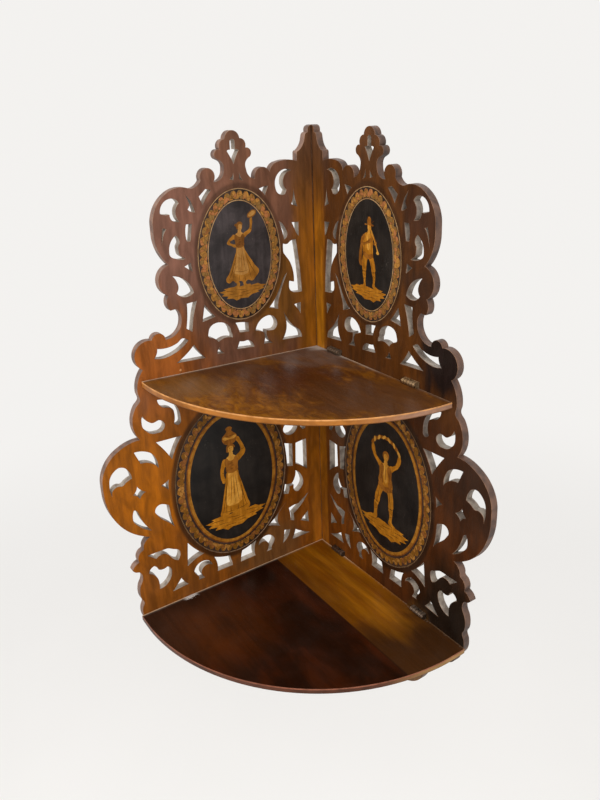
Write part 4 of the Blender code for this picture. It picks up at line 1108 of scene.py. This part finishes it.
JUG_BEARER = {
    "slab_turn": 1,
    "honey": [
        [(-3.6, 5.6), (-5, 0), (-6.6, -7), (-8.2, -14), (-9.8, -20.4), (-10.6, -24.2), (-6.4, -25.6),
         (-3.2, -24.2), (0.4, -25.8), (3.8, -24.4), (7.4, -25.8), (10.8, -24.2), (9.6, -17.6), (7.8, -10.6),
         (6, -3.6), (4.6, 1.6), (3.6, 5.6)],
        [(4, 11.6), (7.6, 13.2), (10.4, 16.6), (9.6, 20.6), (7.6, 25), (5.4, 28.4), (4.2, 27.4), (5.8, 23.6),
         (7.2, 19.4), (6.4, 17.2), (3.8, 15.4)],
        [(-4.8, 15.2), (-7.4, 11), (-8.4, 5.6), (-7.8, 0.6), (-6.4, -1.8), (-5.2, -0.6), (-6, 4.6), (-5.2, 9),
         (-3.4, 12)],
    ],
    "pale": [
        [(-2.4, 5), (-3.8, -2), (-5.2, -10), (-5.8, -17.4), (-1.4, -19.4), (2.6, -19), (6, -16.6), (5, -9),
         (3.8, -2), (2.6, 5)],
        [(-3.4, 15), (-1.4, 16.8), (-1, 18.6), (1.3, 18.6), (1.6, 16.8), (3.4, 15), (1, 12.6), (-1.2, 12.8)],
        round_shape(0, 21.2, 2.1, 2.9),
    ],
    "brown": [
        [(-3.7, 5.4), (-4.4, 9.4), (-4.8, 13.6), (-3.4, 15.2), (-1.4, 13.2), (1, 13), (3.2, 15.2),
         (4.6, 13.4), (4.3, 9.2), (3.7, 5.4)],
        [(-2.2, 19), (-2.9, 21.4), (-2.2, 23.8), (0, 24.7), (2.2, 23.8), (2.9, 21.4), (2.1, 22.4), (0, 23),
         (-1.6, 22.2), (-1.7, 20.4)],
        [(-2.6, 24.6), (-5, 27), (-5.2, 29.8), (-3, 32), (-1.8, 33.6), (-2.4, 35.4), (2.2, 35.4), (1.6, 33.6),
         (2.8, 32), (5, 29.8), (4.8, 27), (2.6, 24.6)],
    ],
    "bright": [
        [(-4.6, 28.6), (0, 27.8), (4.6, 28.6), (4.7, 29.6), (0, 28.8), (-4.7, 29.6)],
    ],
    "lines": [
        (-4, 1.6, -9, -23.4, 0.6), (-5.6, -6, -6.6, -24.6, 0.2, 0.36), (-3, -19.4, -3.2, -24, 0, 0.34),
        (5, 0, 9, -23.4, -0.6), (6, -6, 6.4, -25, -0.2, 0.36), (2.2, -19.4, 2.6, -24.4, 0, 0.34),
        (-1, 4, -2.8, -18, 0.3, 0.3), (0.6, 4, 0.4, -19, 0, 0.3), (2, 4, 3.6, -17.4, -0.3, 0.3),
        (-10, -21.6, 0.2, -23, -0.6, 0.34), (0.2, -23, 10.2, -21.6, -0.6, 0.34), (-1.4, 7, 1.2, 7.4, 0, 0.3),
        (-1.5, 9, 1.3, 9.4, 0, 0.3), (-1.5, 11, 1.3, 11.4, 0, 0.3), (-7.4, 6, -5.4, 5.4, 0, 0.34),
        (7, 18.4, 9.8, 19.2, 0, 0.34), (-5, 30.6, 5, 30.6, -0.5, 0.3), (-1, 21.6, -0.4, 21.5, 0, 0.25),
        (0.5, 21.6, 1.1, 21.5, 0, 0.25),
    ],
}
GARLAND_BEARER = {
    "slab_turn": -1,
    "honey": [
        [(-4.6, 15), (-5.4, 9), (-5.8, 2), (-2, 0.6), (2, 1.2), (5.6, 0.4), (5.4, 8), (4.8, 15), (1.6, 16.6),
         (-1.6, 16.6)],
        [(-5.4, 0.8), (-8, -4), (-9.6, -9), (-9.4, -12.2), (-6.2, -13), (-4.6, -8), (-2.4, -3), (-0.4, 0.4)],
        [(0.4, 0.4), (2.4, -4), (3.2, -9), (3.6, -12.8), (6.8, -12.8), (7.4, -8), (6.8, -3), (5.4, 0.6)],
        [(-9.2, -12), (-10.6, -16), (-10.4, -20), (-11, -23.2), (-14.6, -25), (-8.2, -25.2), (-7.6, -20),
         (-7, -16), (-6.3, -12.8)],
        [(3.6, -12.6), (4.2, -17), (3.8, -21), (3.2, -23.8), (7.4, -25.2), (9.8, -24.8), (6.6, -22.6),
         (6.8, -18), (7, -15), (6.8, -12.6)],
        [(-4.2, 12.6), (-7.8, 15.4), (-11.4, 19.2), (-12.9, 25.4), (-11.6, 26.6), (-10.4, 25.4), (-9.2, 21),
         (-6.6, 18), (-3.4, 16)],
        [(4.2, 12.6), (8, 15.2), (11.8, 19), (13.4, 25.2), (12.2, 26.4), (11, 25.2), (9.6, 20.8), (7, 17.8),
         (3.4, 16)],
    ],
    "pale": [
        [(-2, 16), (-2.2, 9), (-0.6, 3.4), (0.8, 3.4), (2.2, 9), (2.2, 16), (0, 17)],
        [(-1, 18.6), (-1.2, 16.6), (1.4, 16.6), (1.2, 18.6)],
        round_shape(0.2, 21.2, 2.1, 2.9),
    ],
    "brown": [
        [(-4.8, 14.8), (-5.4, 8), (-5.7, 2.4), (-3.4, 1.4), (-2.4, 8), (-2.4, 15.6)],
        [(4.8, 14.8), (5.4, 8), (5.6, 2), (3.4, 1.2), (2.6, 8), (2.6, 15.6)],
        [(-2, 20.4), (-2.6, 22.6), (-1.4, 24.6), (0.4, 25.2), (2.2, 24.4), (2.9, 22.4), (2.4, 20.6),
         (1.6, 22.6), (-0.6, 23.2), (-1.5, 22)],
        [(-6.2, 2), (-6, -0.4), (5.8, -0.8), (6, 1.6), (0, 0.8)],
        *leaves(2.3, 1.1,
                (-11.6, 28, 0.9), (-8.2, 31.2, 0.5), (-3.9, 33.3, 0.2), (0.6, 33.8, -0.1), (5.1, 32.8, -0.4),
                (9.2, 30.2, -0.7)),
    ],
    "bright": [
        *leaves(1.9, 0.9,
                (-10.1, 29.9, 1.5), (-6.1, 32.4, 1.1), (-1.6, 33.8, 0.7), (2.9, 33.5, -0.9),
                (7.3, 31.6, -1.2)),
        round_shape(11.6, 27.6, 2.2, 1, -1),
    ],
    "lines": [
        (-3.8, 12.6, -4.4, 3, 0.3, 0.34), (3.9, 12.6, 4.4, 3, -0.3, 0.34), (0.1, 15.4, 0.1, 4.4, 0, 0.3),
        (-5.4, -1, -7.8, -11.6, 0.4, 0.36), (4, -1.4, 5.2, -12, -0.4, 0.36),
        (-9.6, -12.2, -6.1, -13.1, 0, 0.7), (3.5, -12.9, 7, -12.9, 0, 0.7), (-10.2, -14.4, -7, -16, 0, 0.3),
        (-7.2, -17.4, -10.2, -18.8, 0, 0.3), (4, -15, 7, -16.4, 0, 0.3), (6.8, -18, 4, -19.2, 0, 0.3),
        (-9.6, 20.6, -7.4, 18.6, 0, 0.34), (9.8, 20.2, 8, 18.4, 0, 0.34), (-0.8, 21.6, -0.2, 21.5, 0, 0.25),
        (0.7, 21.6, 1.3, 21.5, 0, 0.25),
    ],
}


def joined(pieces, name):
    select_only(pieces[0])
    for piece in pieces:
        piece.select_set(True)
    if len(pieces) > 1:
        bpy.ops.object.join()
    whole = bpy.context.active_object
    whole.name = name
    return whole


def figure_pieces(prefix, side, oval, drawing, scale):
    """A figure of inlaid woods on its slab of ground, one wood a little before the next, with burnt lines."""
    body = side + "_panel"
    # The upper left figure takes the woods with a painted sheen
    mid, light, deep = FIGURE_WOODS_PAINTED_SHEEN if prefix == "left_upper_oval" else FIGURE_WOODS
    turn = drawing["slab_turn"]
    ground = [(x * turn, y) for x, y in SLAB]
    slab = flat_shape(prefix + "_figure_ground_slab", ground, scale, thick=0.3, smooth=False)
    lay_on(slab, side, oval, depth=0.07)
    finish_piece(slab, body, [mid], [prefix + "_figure"])
    for label, material, depth in (
        ("honey", mid, 0.055),
        ("pale", light, 0.04),
        ("brown", deep, 0.034),
        ("bright", light, 0.02),
    ):
        shapes = [
            flat_shape(f"{prefix}_{label}_{number}", outline, scale, thick=0.25, drop=0.0012 * number)
            for number, outline in enumerate(drawing[label])
        ]
        piece = joined(shapes, f"{prefix}_figure_{label}_wood")
        lay_on(piece, side, oval, depth)
        finish_piece(piece, body, [material])
    strokes = [stroke(*mark) for mark in drawing["lines"]]
    for x0, y0, x1, y1, bow in SLAB_MARKS:
        strokes.append(stroke(x0 * turn, y0, x1 * turn, y1, bow * turn, 0.36))
    marks = [
        flat_shape(f"{prefix}_line_{number}", line, scale, thick=0.15, smooth=False, drop=0.0004 * number)
        for number, line in enumerate(strokes)
    ]
    piece = joined(marks, prefix + "_figure_burnt_lines")
    lay_on(piece, side, oval, depth=0.004)
    finish_piece(piece, body, [FIGURE_LINE])


# Half widths of each oval's bed, ground and rings, what half their heights have more, and the figure's scale
INLAYS = {
    "upper": {
        "oval": UPPER_OVAL,
        "taller": 14.6,
        "bed": 38.4,
        "ground": 29.2,
        "rings": [
            ("inner_line", 29.7, 29.0, LINE_PALE, 0.05, {}),
            ("scalloped_band", 36.9, 30.3, BAND_UPPER, 0.05, {"lobes": 38, "bite": 2.2, "inner_bite": 0.9}),
            ("outer_line", 38.4, 37.9, LINE_PALE, 0.05, {}),
        ],
        "scale": 1.0,
    },
    "lower": {
        "oval": LOWER_OVAL,
        "taller": 20.5,
        "bed": 56.3,
        "ground": 42.4,
        "rings": [
            ("golden_line", 44.9, 42.2, LINE_GOLD, 0.05, {}),
            ("amber_line", 46.0, 44.8, LINE_AMBER, 0.07, {}),
            ("scalloped_band", 54.6, 47.8, BAND_LOWER, 0.05, {"lobes": 52, "bite": 2.9, "inner_bite": 0.9}),
            ("outer_line", 56.2, 55.7, LINE_DULL, 0.05, {}),
        ],
        "scale": 41 / 28.9,
    },
}


def oval_inlay(side, level, drawing):
    body = side + "_panel"
    prefix = f"{side}_{level}_oval"
    sizes = INLAYS[level]
    oval = sizes["oval"]

    def axes(half):
        return half, half + sizes["taller"]

    plate = oval_plate(prefix + "_bed", axes(sizes["bed"]), thick=0.9)
    lay_on(plate, side, oval, depth=0.2)
    finish_piece(plate, body, [BORDER_DARK], [prefix + "_band"])
    plate = oval_plate(prefix + "_black_ground", axes(sizes["ground"]), thick=0.5)
    lay_on(plate, side, oval, depth=0.12)
    # The upper left oval's ground takes the ebony with a painted sheen
    black = EBONY_PAINTED_SHEEN if prefix == "left_upper_oval" else EBONY
    finish_piece(plate, body, [black], [prefix + "_ground"])
    for label, outer, inner, material, depth, shape in sizes["rings"]:
        ring = oval_ring(f"{prefix}_{label}", axes(outer), axes(inner), thick=0.4, **shape)
        lay_on(ring, side, oval, depth)
        finish_piece(ring, body, [material])
    figure_pieces(prefix, side, oval, drawing, sizes["scale"])


# Brass
def dress_brass(node):
    piece = copy_of(node, node + "_finished")
    small = "screw" in node or "pin" in node
    width = 0.08 if small else 0.14
    ease_edges(piece, width * MM, segments=2, angle=40, clamp=True)
    hinge = "_".join(node.split("_")[:2])
    metal = BRASS_BRIGHT if node.endswith("rest_pin") else HINGE_BRASS.get(hinge, BRASS)
    finish_piece(piece, nodes[node]["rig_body"], [metal], [node])


# Stage
PALE_WALL = (0.9, 0.885, 0.865, 1)


def mix_shaders(share, first, second):
    inputs = {0: share, 1: Value(first.outputs[0]), 2: Value(second.outputs[0])}
    return Value(make("ShaderNodeMixShader", inputs).outputs[0])


def set_stage():
    bpy.ops.object.select_all(action="DESELECT")
    bpy.ops.mesh.primitive_grid_add(x_subdivisions=8, y_subdivisions=8, size=24, location=(0, 0, -1.15))
    floor = bpy.context.active_object
    floor.name = "floor"
    material, surface, place = new_material("pale_floor")
    tree = material.node_tree
    speck = ramp(noise(place, 3, 2), 0.3, 0.7)
    plug(surface, "Base Color", blend(speck, (0.9, 0.89, 0.875, 1), (0.91, 0.9, 0.885, 1)))
    plug(surface, "Roughness", 0.9)
    plug(surface, "Specular IOR Level", 0.1)
    far = Value(make("ShaderNodeVectorMath", {0: place}, operation="LENGTH").outputs["Value"])
    glow = add(tree, "ShaderNodeEmission", {"Color": PALE_WALL, "Strength": 1.0})
    plug(tree.nodes["Material Output"], "Surface", mix_shaders(ramp(far, 0.5, 2.6), surface, glow))
    floor.data.materials.append(material)

    world = bpy.data.worlds.new("soft_daylight")
    scene.world = world
    world.use_nodes = True
    tree = world.node_tree
    tree.nodes.clear()
    path = by_name(tree.nodes.new("ShaderNodeLightPath"))
    seen = larger(larger(path["Is Camera Ray"], path["Is Glossy Ray"]), path["Is Transmission Ray"])
    light = add(tree, "ShaderNodeBackground", {"Color": (1.0, 0.985, 0.965, 1), "Strength": 0.7})
    wall = add(tree, "ShaderNodeBackground", {"Color": PALE_WALL, "Strength": 1.0})
    plug(tree.nodes.new("ShaderNodeOutputWorld"), "Surface", mix_shaders(seen, light, wall))

    middle = Vector((0.06, -0.06, -0.08))
    for name, spot, size, power in (
        ("window", (1.35, -0.75, 1.25), 1.1, 17),
        ("front", (0.85, -0.62, 0.1), 0.7, 1.8),
        ("room", (-0.5, -1.5, 0.9), 1.2, 9),
        ("behind", (-0.9, 0.9, 0.9), 1.2, 6),
    ):
        data = bpy.data.lights.new(name, "AREA")
        data.size = size
        data.energy = power
        lamp = bpy.data.objects.new(name, data)
        scene.collection.objects.link(lamp)
        lamp.location = spot
        aim = middle - Vector(spot)
        lamp.rotation_euler = aim.to_track_quat("-Z", "Y").to_euler()
    scene.view_settings.view_transform = "Standard"


set_camera()
dress_panel("right_fret_panel", "right")
dress_panel("left_fret_panel", "left")
dress_shelf("upper_shelf", "upper_shelf_board", WOOD_UPPER, RIM_UPPER, UPPER_FRONT)
dress_shelf("lower_shelf", "lower_shelf_board", WOOD_LOWER, RIM_LOWER, LOWER_FRONT)
oval_inlay("left", "upper", DANCER)
oval_inlay("right", "upper", PIPER)
oval_inlay("left", "lower", JUG_BEARER)
oval_inlay("right", "lower", GARLAND_BEARER)
for brass_node in sorted(nodes):
    if "hinge" in brass_node or "rest_pin" in brass_node:
        dress_brass(brass_node)
set_stage()
